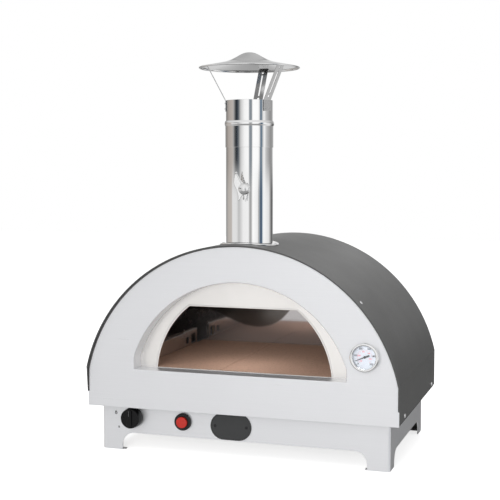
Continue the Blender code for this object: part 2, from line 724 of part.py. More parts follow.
def feed_holes(bottom, top):
    """Drills for what rises from the base into the chamber: mixing tube, thermocouple and electrode."""
    depth = (bottom - OVERRUN, top + OVERRUN)
    places = (
        (BURNER_X, BURNER_FRONT_Y, BURNER_RADIUS, SMALL_ROUND_STEPS),
        (THERMOCOUPLE_X, PROBE_Y, THERMOCOUPLE_RADIUS, SCREW_ROUND_STEPS),
        (ELECTRODE_X, PROBE_Y, ELECTRODE_RADIUS, SCREW_ROUND_STEPS),
    )
    return [moved(cylinder("feed_hole", radius + 2 * GAP, depth, steps), (x, y, 0)) for x, y, radius, steps in places]


def side_screw_holes():
    """Drills across the body for the four side screws."""
    reach = SHELL_HALF_WIDTH + OVERRUN
    drills = []
    for y in (SIDE_SCREW_FRONT_Y, SIDE_SCREW_REAR_Y):
        drill = cylinder("side_hole", SCREW_SHANK_RADIUS + GAP, (-reach, reach), SCREW_ROUND_STEPS)
        drill.transform(Matrix.Rotation(pi / 2, 4, "Y"))
        drills.append(moved(drill, (0, y, SIDE_SCREW_Z)))
    return drills


def build_front_panel(root):
    """Arched front sheet with the return round its opening and two ears at the foot."""
    outline = [
        (PANEL_EAR_HALF_WIDTH, PANEL_BOTTOM), (PANEL_EAR_HALF_WIDTH, PANEL_EAR_TOP),
        *arch_outline(PANEL_HALF_WIDTH, PANEL_EAR_TOP, PANEL_RADIUS, ARCH_CENTRE),
        (-PANEL_EAR_HALF_WIDTH, PANEL_EAR_TOP), (-PANEL_EAR_HALF_WIDTH, PANEL_BOTTOM),
    ]
    panel = add_object("front_panel", prism("front_panel", outline, (0, PANEL_THICKNESS)), root, steel)
    rim = cutout_outline(SHEET, CUTOUT_BOTTOM - SHEET)
    join(panel, prism("return", rim, (PANEL_THICKNESS / 2, RETURN_DEPTH)))
    cut(panel, prism("opening", cutout_outline(0, CUTOUT_BOTTOM), (-OVERRUN, RETURN_DEPTH + OVERRUN)))
    cut(panel, along_y("thermo_hole", THERMO_NECK_RADIUS + GAP, (-OVERRUN, OVERRUN + PANEL_THICKNESS),
                       THERMO_X, THERMO_Z))


def build_vault_shell(root):
    """Outer arched cover with an overhanging lip and a front flange that carries the panel."""
    section = tunnel_outline(shell_outline(0, SHELL_BOTTOM), shell_outline(SHEET, SHELL_BOTTOM))
    shell = add_object("vault_shell", prism("vault_shell", section, (-LIP_OVERHANG, SHELL_REAR_Y)), root, paint)
    ring = tunnel_outline(shell_outline(SHEET / 2, SHELL_BOTTOM),
                          shell_outline(SHEET + SHELL_FLANGE_WIDTH, SHELL_BOTTOM))
    join(shell, prism("front_flange", ring, (SHELL_FLANGE_Y, SHELL_FLANGE_Y + SHEET)))
    front = -LIP_OVERHANG - OVERRUN
    notch_top = PANEL_EAR_TOP + GAP
    lip_cut = [
        (front, SHELL_BOTTOM - OVERRUN), (SHELL_FLANGE_Y, SHELL_BOTTOM - OVERRUN), (SHELL_FLANGE_Y, notch_top),
        (-LIP_FOOT_OVERHANG, notch_top), (-LIP_OVERHANG, SHELL_KINK), (front, SHELL_KINK),
    ]
    reach = SHELL_HALF_WIDTH + OVERRUN
    cut(shell, prism("lip_cut", lip_cut, (-reach, reach), "x"))
    flue_hole = cylinder("flue_hole", SLEEVE_RADIUS + GAP, (VAULT_RADIUS, SHELL_TOP + OVERRUN), ROUND_STEPS)
    cut(shell, moved(flue_hole, (0, FLUE_Y, 0)))
    cut(shell, *side_screw_holes())
    cut(shell, *flange_screw_holes())


def flange_screw_holes():
    depth = (SHELL_TOP - FLANGE_DEPTH, FLANGE_TOP + OVERRUN)
    radius = SMALL_SCREW_SHANK_RADIUS + GAP
    return [on_flange(cylinder("screw_hole", radius, depth, SCREW_ROUND_STEPS), side) for side in (-1, 1)]


def on_flange(mesh, side):
    """Carry a mesh from the crown round the shell's arch to the flange's left or right screw."""
    mesh.transform(Matrix.Translation((0, FLUE_Y, ARCH_CENTRE))
                   @ Matrix.Rotation(side * FLANGE_SCREW_LEAN, 4, "Y")
                   @ Matrix.Translation((0, 0, -ARCH_CENTRE)))
    return mesh


def build_mouth_plate(root):
    """Inner front wall with the hemmed mouth."""
    outline = arch_outline(BLANKET_HALF, BOARD_BOTTOM, BLANKET_RADIUS, ARCH_CENTRE)
    plate = add_object("mouth_plate", prism("mouth_plate", outline, (MOUTH_PLATE_Y, MOUTH_BACK_Y)), root, polished)
    hem = mouth_outline(MOUTH_HEM_WIDTH, CUTOUT_BOTTOM + GAP)
    join(plate, prism("hem", hem, (MOUTH_PLATE_Y - MOUTH_HEM_THICKNESS, MOUTH_PLATE_Y + SHEET / 2)))
    front = MOUTH_PLATE_Y - MOUTH_HEM_THICKNESS - OVERRUN
    cut(plate, prism("mouth", mouth_outline(0, STONE_TOP), (front, MOUTH_BACK_Y + OVERRUN)))
    cut(plate, along_y("probe_hole", PROBE_RADIUS + GAP, (front, MOUTH_BACK_Y + OVERRUN), THERMO_X, THERMO_Z,
                       SCREW_ROUND_STEPS))


def build_inner_vault(root):
    """Polished arch over the cooking floor."""
    section = tunnel_outline(segment_outline(VAULT_RADIUS, ARCH_CENTRE, STONE_BOTTOM),
                             segment_outline(VAULT_INNER_RADIUS, ARCH_CENTRE, STONE_BOTTOM))
    ys = (CHAMBER_FRONT_Y, REAR_WALL_Y - GAP)
    vault = add_object("inner_vault", prism("inner_vault", section, ys), root, polished)
    cut(vault, moved(cylinder("flue_hole", SLEEVE_RADIUS + GAP, (VAULT_RADIUS, SHELL_TOP), ROUND_STEPS),
                     (0, FLUE_Y, 0)))


def build_inner_rear_wall(root):
    outline = segment_outline(VAULT_RADIUS, ARCH_CENTRE, STONE_BOTTOM)
    add_object("inner_rear_wall", prism("inner_rear_wall", outline, (REAR_WALL_Y, REAR_WALL_BACK_Y)), root, polished)


def build_insulation(root):
    """Blanket over the vault, slab behind it and board under the floor."""
    outer = arch_outline(BLANKET_HALF, BOARD_BOTTOM, BLANKET_RADIUS, ARCH_CENTRE)
    foot = VAULT_FOOT_HALF + GAP
    start = acos(foot / (VAULT_RADIUS + GAP))
    inner = [(foot, BOARD_BOTTOM), *arch_points(VAULT_RADIUS + GAP, ARCH_CENTRE, start, pi - start),
             (-foot, BOARD_BOTTOM)]
    blanket = add_object("vault_blanket", prism("vault_blanket", tunnel_outline(outer, inner),
                                                (CHAMBER_FRONT_Y, REAR_WALL_BACK_Y)), root, wool)
    cut(blanket, moved(cylinder("flue_hole", SLEEVE_RADIUS + GAP, (VAULT_RADIUS, SHELL_TOP), ROUND_STEPS),
                       (0, FLUE_Y, 0)))
    slab_ys = (REAR_WALL_BACK_Y + GAP, PAN_REAR_Y - SHEET - GAP)
    add_object("rear_blanket", prism("rear_blanket", outer, slab_ys), root, wool)
    half = VAULT_FOOT_HALF - GAP
    board = add_object("floor_board", box("floor_board", (-half, half), (CHAMBER_FRONT_Y, REAR_WALL_BACK_Y),
                                          (BOARD_BOTTOM, BOARD_TOP)), root, wool)
    cut(board, *feed_holes(BOARD_BOTTOM, BOARD_TOP))


def build_deck_plate(root):
    half = VAULT_FOOT_HALF - GAP
    deck = add_object("deck_plate", box("deck_plate", (-half, half), (CHAMBER_FRONT_Y, REAR_WALL_BACK_Y),
                                        (DECK_BOTTOM, DECK_TOP)), root, steel)
    cut(deck, *feed_holes(DECK_BOTTOM, DECK_TOP))


def build_stones(root):
    """Two fire-brick tiles; the left one stops at the burner guard."""
    right_edge = sqrt(VAULT_INNER_RADIUS ** 2 - (STONE_TOP - ARCH_CENTRE) ** 2) - GAP
    ys = (CHAMBER_FRONT_Y, REAR_WALL_Y - GAP)
    spans = {
        "stone_left": (GUARD_X + GAP, STONE_SEAM_X - GAP / 2),
        "stone_right": (STONE_SEAM_X + GAP / 2, right_edge),
    }
    for name, xs in spans.items():
        add_object(name, box(name, xs, ys, (STONE_BOTTOM, STONE_TOP)), root, stone)


def build_rear_panel(root):
    """Back cover, a shallow tray that opens to the rear."""
    outline = shell_outline(SHEET + GAP, PAN_BOTTOM)
    front, rear = REAR_PANEL_Y, REAR_PANEL_Y + SHEET + REAR_PANEL_FLANGE
    panel = add_object("rear_panel", prism("rear_panel", outline, (front, rear)), root, paint)
    inner = shell_outline(2 * SHEET + GAP, PAN_BOTTOM + SHEET)
    cut(panel, prism("recess", inner, (front + SHEET, rear + OVERRUN)))


# Burner and gas line

def build_burner(root):
    """Ported burner tube with its mixing tube, which drops through the floor."""
    points = [(BURNER_X, BURNER_REAR_Y, BURNER_Z), (BURNER_X, BURNER_FRONT_Y, BURNER_Z),
              (BURNER_X, BURNER_FRONT_Y, BURNER_BOTTOM)]
    path = fillet_path(points, BURNER_BEND_RADIUS)
    bm = bmesh.new()
    rings = []
    for index, point in enumerate(path):
        before = path[max(index - 1, 0)]
        after = path[min(index + 1, len(path) - 1)]
        along = (after - before).normalized()
        side = Vector((1, 0, 0))
        up = side.cross(along)
        ring = []
        for step in range(SMALL_ROUND_STEPS):
            angle = 2 * pi * step / SMALL_ROUND_STEPS
            ring.append(bm.verts.new(point + (side * cos(angle) + up * sin(angle)) * BURNER_RADIUS))
        rings.append(ring)
    for ring, following in zip(rings, rings[1:]):
        for step in range(SMALL_ROUND_STEPS):
            after = (step + 1) % SMALL_ROUND_STEPS
            bm.faces.new((ring[step], ring[after], following[after], following[step]))
    bm.faces.new(rings[0])
    bm.faces.new(rings[-1])
    burner = add_object("burner_tube", mesh_from(bm, "burner_tube"), root, steel)
    first = BURNER_FRONT_Y + 2 * BURNER_BEND_RADIUS
    pitch = (BURNER_REAR_Y - BURNER_RADIUS - first) / PORT_COUNT
    top = BURNER_Z + BURNER_RADIUS
    for index in range(PORT_COUNT):
        y = first + pitch * (index + 1 / 2)
        cut(burner, box("port", (BURNER_X - BURNER_RADIUS, BURNER_X + BURNER_RADIUS),
                        (y - PORT_WIDTH / 2, y + PORT_WIDTH / 2), (top - PORT_DEPTH, top + OVERRUN)))
    shade_round(burner)


def build_burner_guard(root):
    """Folded guard between the burner and the cooking floor."""
    top = STONE_TOP + GUARD_HEIGHT
    right, left = GUARD_X, GUARD_X - SHEET
    profile = [
        (right, STONE_BOTTOM), (right, top), (right - GUARD_TOP_FLANGE, top), (right - GUARD_TOP_FLANGE, top - SHEET),
        (left, top - SHEET), (left, STONE_BOTTOM + SHEET), (right - GUARD_FOOT_FLANGE, STONE_BOTTOM + SHEET),
        (right - GUARD_FOOT_FLANGE, STONE_BOTTOM),
    ]
    front = CHAMBER_FRONT_Y + GAP
    add_object("burner_guard", prism("burner_guard", profile, (front, BRACKET_Y - GUARD_REAR_GAP)), root, polished)


def build_pilot_bracket(root):
    """Stand for the thermocouple and the spark electrode."""
    right, left = GUARD_X, GUARD_X - SHEET
    top = STONE_BOTTOM + BRACKET_HEIGHT
    profile = [
        (right, STONE_BOTTOM), (right, top), (right - BRACKET_TOP_TAB, top), (right - BRACKET_TOP_TAB, top - SHEET),
        (left, top - SHEET), (left, STONE_BOTTOM + SHEET), (right - BRACKET_REACH, STONE_BOTTOM + SHEET),
        (right - BRACKET_REACH, STONE_BOTTOM),
    ]
    bracket = add_object("pilot_bracket", prism("pilot_bracket", profile, (BRACKET_Y, BRACKET_Y + BRACKET_LENGTH)),
                         root, polished)
    cut(bracket, *feed_holes(STONE_BOTTOM, STONE_BOTTOM + SHEET)[1:])


def build_sensors(root):
    """Thermocouple, spark electrode and their leads to the valve and the igniter."""
    tip = cylinder("thermocouple", THERMOCOUPLE_RADIUS, (PROBE_BOTTOM, STONE_TOP + THERMOCOUPLE_RISE), SCREW_ROUND_STEPS)
    shade_round(add_object("thermocouple", moved(tip, (THERMOCOUPLE_X, PROBE_Y, 0)), root, brass))
    body_top = STONE_TOP + ELECTRODE_RISE
    wire_top = body_top + ELECTRODE_WIRE_LENGTH
    profile = [
        (0, PROBE_BOTTOM), (ELECTRODE_RADIUS, PROBE_BOTTOM), (ELECTRODE_RADIUS, body_top - ELECTRODE_RADIUS),
        (ELECTRODE_WIRE_RADIUS, body_top), (ELECTRODE_WIRE_RADIUS, wire_top), (0, wire_top),
    ]
    body = moved(revolve("spark_electrode", profile, SCREW_ROUND_STEPS), (ELECTRODE_X, PROBE_Y, 0))
    electrode = add_object("spark_electrode", body, root, wool)
    tip_x = ELECTRODE_X + ELECTRODE_WIRE_REACH
    join(electrode, box("spark_tip", (ELECTRODE_X, tip_x),
                        (PROBE_Y - ELECTRODE_WIRE_RADIUS / 2, PROBE_Y + ELECTRODE_WIRE_RADIUS / 2),
                        (wire_top - 2 * ELECTRODE_WIRE_RADIUS, wire_top - ELECTRODE_WIRE_RADIUS)))
    shade_round(electrode)
    tap = (THERMOCOUPLE_X, VALVE_REAR_Y + GAP, KNOB_Z - TAP_DROP)
    rod_object("thermocouple_lead", [tap, (THERMOCOUPLE_X, PROBE_Y, tap[2]),
                                     (THERMOCOUPLE_X, PROBE_Y, PROBE_BOTTOM - GAP)],
               LEAD_RADIUS, LEAD_BEND_RADIUS, root, brass)
    piezo_end = BASE_FRONT_Y + BEZEL_NECK_LENGTH + GAP + PIEZO_LENGTH + GAP
    lead_y = piezo_end + LEAD_RUN
    lead_z = KNOB_Z - LEAD_DROP
    rod_object("spark_lead", [
        (ELECTRODE_X, PROBE_Y, PROBE_BOTTOM - GAP), (ELECTRODE_X, PROBE_Y, lead_z),
        (ELECTRODE_X, lead_y, lead_z), (IGNITER_X, lead_y, lead_z),
        (IGNITER_X, piezo_end + LEAD_BEND_RADIUS, IGNITER_Z), (IGNITER_X, piezo_end, IGNITER_Z),
    ], LEAD_RADIUS, LEAD_BEND_RADIUS, root, black)


def build_gas_line(root):
    """Valve body, feed to the injector, supply pipe and the inlet at the rear."""
    valve = add_object("gas_valve", along_y("gas_valve", VALVE_RADIUS, (VALVE_FRONT_Y, VALVE_REAR_Y),
                                            KNOB_X, KNOB_Z), root, brass)
    cut(valve, along_y("bore", VALVE_BORE_RADIUS, (VALVE_FRONT_Y - OVERRUN, VALVE_FRONT_Y + VALVE_BORE_DEPTH),
                       KNOB_X, KNOB_Z))
    shade_round(valve)
    start_y = VALVE_REAR_Y + GAP
    feed_z = KNOB_Z - FEED_DROP
    injector_bottom = BURNER_BOTTOM - GAP - INJECTOR_LENGTH
    rod_object("feed_pipe", [
        (KNOB_X, start_y, feed_z), (KNOB_X, BURNER_FRONT_Y, feed_z), (BURNER_X, BURNER_FRONT_Y, feed_z),
        (BURNER_X, BURNER_FRONT_Y, injector_bottom - GAP),
    ], PIPE_RADIUS, PIPE_BEND_RADIUS, root, brass)
    injector = moved(cylinder("gas_injector", INJECTOR_RADIUS, (injector_bottom, BURNER_BOTTOM - GAP), 6),
                     (BURNER_X, BURNER_FRONT_Y, 0))
    add_object("gas_injector", injector, root, brass)
    x, z = KNOB_X, KNOB_Z + SUPPLY_RISE
    inlet_start = BASE_REAR_Y - BASE_SHEET - INLET_INSIDE
    supply = along_y("supply_pipe", PIPE_RADIUS, (start_y, inlet_start - GAP), x, z, SCREW_ROUND_STEPS)
    shade_round(add_object("supply_pipe", supply, root, brass))
    inside = BASE_REAR_Y - BASE_SHEET - GAP
    profile = [(0, inlet_start), (INLET_RADIUS, inlet_start), (INLET_RADIUS, inside - INLET_NUT_LENGTH),
               (INLET_NUT_RADIUS, inside - INLET_NUT_LENGTH), (INLET_NUT_RADIUS, inside), (INLET_RADIUS, inside)]
    end = inlet_start + INLET_LENGTH
    barb = end - INLET_BARB_COUNT * INLET_BARB_LENGTH
    for index in range(INLET_BARB_COUNT):
        profile.append((INLET_RADIUS, barb + index * INLET_BARB_LENGTH))
        profile.append((INLET_BARB_RADIUS, barb + index * INLET_BARB_LENGTH))
    profile += [(INLET_RADIUS, end), (0, end)]
    inlet = turn_to_y(revolve("gas_inlet", profile, SMALL_ROUND_STEPS), x, z)
    shade_round(add_object("gas_inlet", inlet, root, brass))


def build_knob(root):
    """Plunger, spindle and gas knob on one axis; the knob turns on the pushed plunger."""
    push = add_empty("knob_push_axis", (KNOB_X, 0, KNOB_Z), root)
    stem_front = KNOB_REAR_Y - STEM_SOCKET_DEPTH + GAP
    bore_end = VALVE_FRONT_Y + VALVE_BORE_DEPTH
    plunger_rear = bore_end - PLUNGER_TRAVEL_ROOM
    plunger_front = plunger_rear - PLUNGER_LENGTH
    plunger = along_y("valve_plunger", VALVE_BORE_RADIUS - GAP, (plunger_front, plunger_rear))
    shade_round(add_object("valve_plunger", plunger, push, brass))
    turn = add_empty("knob_turn_axis", (0, 0, 0), push)
    stem = along_y("valve_stem", STEM_RADIUS, (stem_front, plunger_front - GAP))
    shade_round(add_object("valve_stem", stem, turn, brass))
    # radius against distance from the knob's rear face
    skirt, body, edge = KNOB_SKIRT_DEPTH, KNOB_DEPTH - KNOB_GRIP_DEPTH, KNOB_EDGE_ROUND
    body_radius = KNOB_RADIUS - KNOB_BODY_STEP
    grip_length = 2 * (KNOB_RADIUS - KNOB_GRIP_INSET)
    profile = [
        (0, 0), (KNOB_RADIUS, 0), (KNOB_RADIUS, -skirt + edge), (KNOB_RADIUS - edge, -skirt),
        (body_radius, -skirt - edge), (body_radius - edge, -body), (0, -body),
    ]
    knob_mesh = moved(turn_to_y(revolve("gas_knob", profile)), (0, KNOB_REAR_Y, 0))
    knob = add_object("gas_knob", knob_mesh, turn, black)
    grip = prism_bmesh(stadium(grip_length, KNOB_GRIP_WIDTH, 0, 0, 6), (KNOB_FRONT_Y, KNOB_REAR_Y - skirt), "y")
    front_edges = [e for e in grip.edges if all(abs(v.co.y - KNOB_FRONT_Y) < MERGE_DISTANCE for v in e.verts)]
    bmesh.ops.bevel(grip, geom=front_edges, offset=KNOB_EDGE_ROUND, segments=2, profile=0.5, affect="EDGES")
    grip_mesh = mesh_from(grip, "grip")
    grip_mesh.transform(Matrix.Rotation(pi / 2, 4, "Y"))
    join(knob, grip_mesh)
    cut(knob, along_y("socket", STEM_RADIUS + GAP, (KNOB_REAR_Y - STEM_SOCKET_DEPTH, KNOB_REAR_Y + OVERRUN)))
    shade_round(knob)


# Igniter and badge

def build_igniter(root):
    """Push button in a black bezel, with the piezo unit and its nut behind the skirt."""
    skirt_front = BASE_FRONT_Y - GAP
    bezel_front = skirt_front - BEZEL_DEPTH
    neck_end = BASE_FRONT_Y + BEZEL_NECK_LENGTH
    cup_floor = skirt_front - BEZEL_CUP_FLOOR
    bore = BUTTON_STEM_RADIUS + GAP
    edge = BEZEL_EDGE_ROUND
    cup = BUTTON_RADIUS + BUTTON_CLEARANCE
    profile = [
        (bore, cup_floor), (cup, cup_floor), (cup, bezel_front + edge / 2), (cup + edge / 2, bezel_front), (BEZEL_RADIUS - edge, bezel_front),
        (BEZEL_RADIUS, bezel_front + edge), (BEZEL_RADIUS, skirt_front), (BEZEL_NECK_RADIUS, skirt_front),
        (BEZEL_NECK_RADIUS, neck_end), (bore, neck_end),
    ]
    bezel = turn_to_y(revolve("igniter_bezel", profile), IGNITER_X, IGNITER_Z)
    shade_round(add_object("igniter_bezel", bezel, root, black))
    nut_front = BASE_FRONT_Y + BASE_SHEET + GAP
    nut = revolve("igniter_nut", [
        (BEZEL_NECK_RADIUS + GAP, nut_front), (NUT_RADIUS, nut_front), (NUT_RADIUS, nut_front + NUT_LENGTH),
        (BEZEL_NECK_RADIUS + GAP, nut_front + NUT_LENGTH),
    ], SMALL_ROUND_STEPS)
    add_object("igniter_nut", turn_to_y(nut, IGNITER_X, IGNITER_Z), root, black)
    piezo_front = neck_end + GAP
    piezo_rear = piezo_front + PIEZO_LENGTH
    piezo = revolve("piezo_unit", [
        (0, piezo_front + PIEZO_BORE_DEPTH), (bore, piezo_front + PIEZO_BORE_DEPTH), (bore, piezo_front),
        (PIEZO_RADIUS, piezo_front), (PIEZO_RADIUS, piezo_rear), (0, piezo_rear),
    ], SMALL_ROUND_STEPS)
    shade_round(add_object("piezo_unit", turn_to_y(piezo, IGNITER_X, IGNITER_Z), root, black))
    axis = add_empty("igniter_axis", (IGNITER_X, 0, IGNITER_Z), root)
    button_front = bezel_front - BUTTON_PROUD
    cap_rear = button_front + BUTTON_CAP_DEPTH
    edge = BUTTON_EDGE_ROUND
    profile = [
        (0, button_front), (BUTTON_RADIUS - edge, button_front), (BUTTON_RADIUS - edge / 3, button_front + edge / 3),
        (BUTTON_RADIUS, button_front + edge), (BUTTON_RADIUS, cap_rear), (BUTTON_STEM_RADIUS, cap_rear),
        (BUTTON_STEM_RADIUS, cap_rear + BUTTON_STEM_LENGTH), (0, cap_rear + BUTTON_STEM_LENGTH),
    ]
    button = turn_to_y(revolve("igniter_button", profile))
    shade_round(add_object("igniter_button", button, axis,
                           lambda name: make_material(name, (0.72, 0.05, 0.03), 0.35)))


def build_badge(root):
    """Plain plate with round ends and its two screws."""
    ys = (BASE_FRONT_Y - GAP - BADGE_THICKNESS, BASE_FRONT_Y - GAP)
    outline = stadium(BADGE_WIDTH, BADGE_HEIGHT, BADGE_X, BADGE_Z)
    badge = add_object("badge_plate", prism("badge_plate", outline, ys), root,
                       lambda name: make_material(name, (0.045, 0.045, 0.047), 0.4, 0.3))
    for sign, name in ((-1, "badge_screw_left"), (1, "badge_screw_right")):
        x = BADGE_X + sign * BADGE_SCREW_HALF
        cut(badge, along_y("hole", SMALL_SCREW_SHANK_RADIUS + GAP, (ys[0] - OVERRUN, ys[1] + OVERRUN), x, BADGE_Z,
                           SCREW_ROUND_STEPS))
        screw = turn_to_y(small_screw(name, BADGE_THICKNESS + BASE_SHEET + OVERRUN))
        add_screw(name, moved(screw, (x, ys[0] - GAP, BADGE_Z)), root)


# Screws

def screw_profile(head_radius, head_height, crown_radius, shank_radius, shank_length):
    """Pan head that seats at height zero, with the shank above it."""
    return [(0, -head_height), (crown_radius, -head_height), (head_radius, -head_height / 3), (head_radius, 0),
            (shank_radius, 0), (shank_radius, shank_length), (0, shank_length)]


def small_screw(name, length):
    return revolve(name, screw_profile(SMALL_SCREW_HEAD_RADIUS, SMALL_SCREW_HEAD_HEIGHT, SMALL_SCREW_CROWN_RADIUS,
                                       SMALL_SCREW_SHANK_RADIUS, length), SCREW_ROUND_STEPS)


def add_screw(name, mesh, root):
    shade_round(add_object(name, mesh, root, polished))


def build_side_screws(root):
    """Two screws each side that hold the shell to the floor pan."""
    for x_sign, side in ((-1, "left"), (1, "right")):
        for y, end in ((SIDE_SCREW_FRONT_Y, "front"), (SIDE_SCREW_REAR_Y, "rear")):
            name = "side_screw_" + side + "_" + end
            mesh = revolve(name, screw_profile(SCREW_HEAD_RADIUS, SCREW_HEAD_HEIGHT, SCREW_HEAD_CROWN_RADIUS,
                                               SCREW_SHANK_RADIUS, SCREW_SHANK_LENGTH), SCREW_ROUND_STEPS)
            mesh.transform(Matrix.Rotation(-x_sign * pi / 2, 4, "Y"))
            add_screw(name, moved(mesh, (x_sign * (SHELL_HALF_WIDTH + GAP), y, SIDE_SCREW_Z)), root)


def build_flange_screws(root):
    """Two screws through the flue flange into the shell."""
    for side, name in ((-1, "flue_screw_left"), (1, "flue_screw_right")):
        mesh = small_screw(name, FLANGE_SCREW_LENGTH)
        mesh.transform(Matrix.Rotation(pi, 4, "X"))
        add_screw(name, on_flange(moved(mesh, (0, 0, FLANGE_TOP + GAP)), side), root)


# Thermometer

def build_thermometer(root):
    """Case with its rolled bezel, dial, glass, nut and probe, and the needle on its own axis."""
    rear, front = -GAP, THERMO_FRONT_Y
    floor = rear - THERMO_FLOOR
    bead = THERMO_BEAD
    lip = front + THERMO_LIP_DEPTH
    lip_radius = THERMO_CAVITY_RADIUS - THERMO_LIP
    profile = [
        (0, floor), (THERMO_CAVITY_RADIUS, floor), (THERMO_CAVITY_RADIUS, lip), (lip_radius, lip),
        (lip_radius, front + bead / 3), (lip_radius + bead / 2, front),
        (THERMO_RADIUS - bead / 2, front), (THERMO_RADIUS - bead / 8, front + bead / 3),
        (THERMO_RADIUS, front + bead), (THERMO_RADIUS - bead / 2, front + 2 * bead),
        (THERMO_RADIUS - bead / 2, rear), (THERMO_NECK_RADIUS, rear),
        (THERMO_NECK_RADIUS, rear + THERMO_NECK_LENGTH), (0, rear + THERMO_NECK_LENGTH),
    ]
    case = turn_to_y(revolve("thermometer_case", profile), THERMO_X, THERMO_Z)
    shade_round(add_object("thermometer_case", case, root, polished))
    disc_radius = THERMO_CAVITY_RADIUS - GAP
    dial_rear = floor - GAP
    dial = along_y("thermometer_dial", disc_radius, (dial_rear - DIAL_THICKNESS, dial_rear), THERMO_X, THERMO_Z,
                   ROUND_STEPS)
    add_object("thermometer_dial", dial, root, lambda name: make_material(name, (0.9, 0.9, 0.9), 0.5))
    glass_front = lip + GAP
    glass = along_y("thermometer_glass", disc_radius, (glass_front, glass_front + GLASS_THICKNESS),
                    THERMO_X, THERMO_Z, ROUND_STEPS)
    add_object("thermometer_glass", glass, root,
               lambda name: make_material(name, (0.95, 0.97, 0.98), 0.03, 0.0, 0.25))
    nut_front = PANEL_THICKNESS + GAP
    nut = revolve("thermometer_nut", [
        (THERMO_NECK_RADIUS + GAP, nut_front), (THERMO_NUT_RADIUS, nut_front),
        (THERMO_NUT_RADIUS, nut_front + THERMO_NUT_LENGTH), (THERMO_NECK_RADIUS + GAP, nut_front + THERMO_NUT_LENGTH),
    ], SMALL_ROUND_STEPS)
    add_object("thermometer_nut", turn_to_y(nut, THERMO_X, THERMO_Z), root, steel)
    probe_front = rear + THERMO_NECK_LENGTH + GAP
    probe = along_y("thermometer_probe", PROBE_RADIUS, (probe_front, CHAMBER_FRONT_Y + PROBE_REACH),
                    THERMO_X, THERMO_Z, SCREW_ROUND_STEPS)
    shade_round(add_object("thermometer_probe", probe, root, steel))
    axis = add_empty("needle_axis", (THERMO_X, 0, THERMO_Z), root)
    hub_rear = dial_rear - DIAL_THICKNESS - GAP
    hub_front = hub_rear - NEEDLE_HUB_LENGTH
    needle = add_object("thermometer_needle", along_y("thermometer_needle", NEEDLE_HUB_RADIUS,
                                                      (hub_front, hub_rear), steps=SCREW_ROUND_STEPS), axis, black)
    tip = THERMO_CAVITY_RADIUS - NEEDLE_TIP_GAP
    blade = [
        (tip, -NEEDLE_TIP_HALF_WIDTH), (tip, NEEDLE_TIP_HALF_WIDTH), (0, NEEDLE_ROOT_HALF_WIDTH),
        (0, NEEDLE_TAIL_HALF_WIDTH), (-NEEDLE_TAIL, NEEDLE_TAIL_HALF_WIDTH), (-NEEDLE_TAIL, -NEEDLE_TAIL_HALF_WIDTH),
        (0, -NEEDLE_TAIL_HALF_WIDTH), (0, -NEEDLE_ROOT_HALF_WIDTH),
    ]
    middle = (hub_front + hub_rear) / 2
    join(needle, prism("blade", blade, (middle - NEEDLE_THICKNESS / 2, middle + NEEDLE_THICKNESS / 2)))
    needle.data.transform(Matrix.Rotation(-NEEDLE_REST_ANGLE, 4, "Y"))


# Flue, damper and rain cap

def saddle_wall(low, high):
    """A wall that follows the shell's round under the flue, between two heights over the shell."""
    start = asin((SHELL_KINK - ARCH_CENTRE) / SHELL_RADIUS)
    arches = [arch_points(SHELL_RADIUS + height, ARCH_CENTRE, start, pi - start) for height in (high, low)]
    reach = FLANGE_RADIUS + OVERRUN
    return prism("saddle", tunnel_outline(*arches), (FLUE_Y - reach, FLUE_Y + reach))


def build_flue_collar(root):
    """Stub through the shell with a thin saddle flange that follows the shell's round."""
    sleeve = (ARCH_CENTRE + VAULT_INNER_RADIUS - SLEEVE_BELOW_VAULT, SHELL_TOP + SLEEVE_ABOVE_SHELL)
    bore = (sleeve[0] - OVERRUN, sleeve[1] + OVERRUN)
    disc = cylinder("flue_collar", FLANGE_RADIUS, (SHELL_TOP - FLANGE_DEPTH, FLANGE_TOP + GAP), ROUND_STEPS)
    collar = add_object("flue_collar", moved(disc, (0, FLUE_Y, 0)), root, polished)
    cut(collar, saddle_wall(-2 * FLANGE_DEPTH, GAP), saddle_wall(FLANGE_RISE, 2 * FLANGE_DEPTH))
    join(collar, moved(cylinder("sleeve", SLEEVE_RADIUS, sleeve, ROUND_STEPS), (0, FLUE_Y, 0)))
    cut(collar, moved(cylinder("bore", SLEEVE_RADIUS - FLUE_WALL, bore, ROUND_STEPS), (0, FLUE_Y, 0)))
    cut(collar, *flange_screw_holes())
    shade_round(collar)


def damper_matrix():
    """Turns the damper's own y axis to the direction of its shaft."""
    return Matrix.Rotation(DAMPER_TURN, 4, "Z")


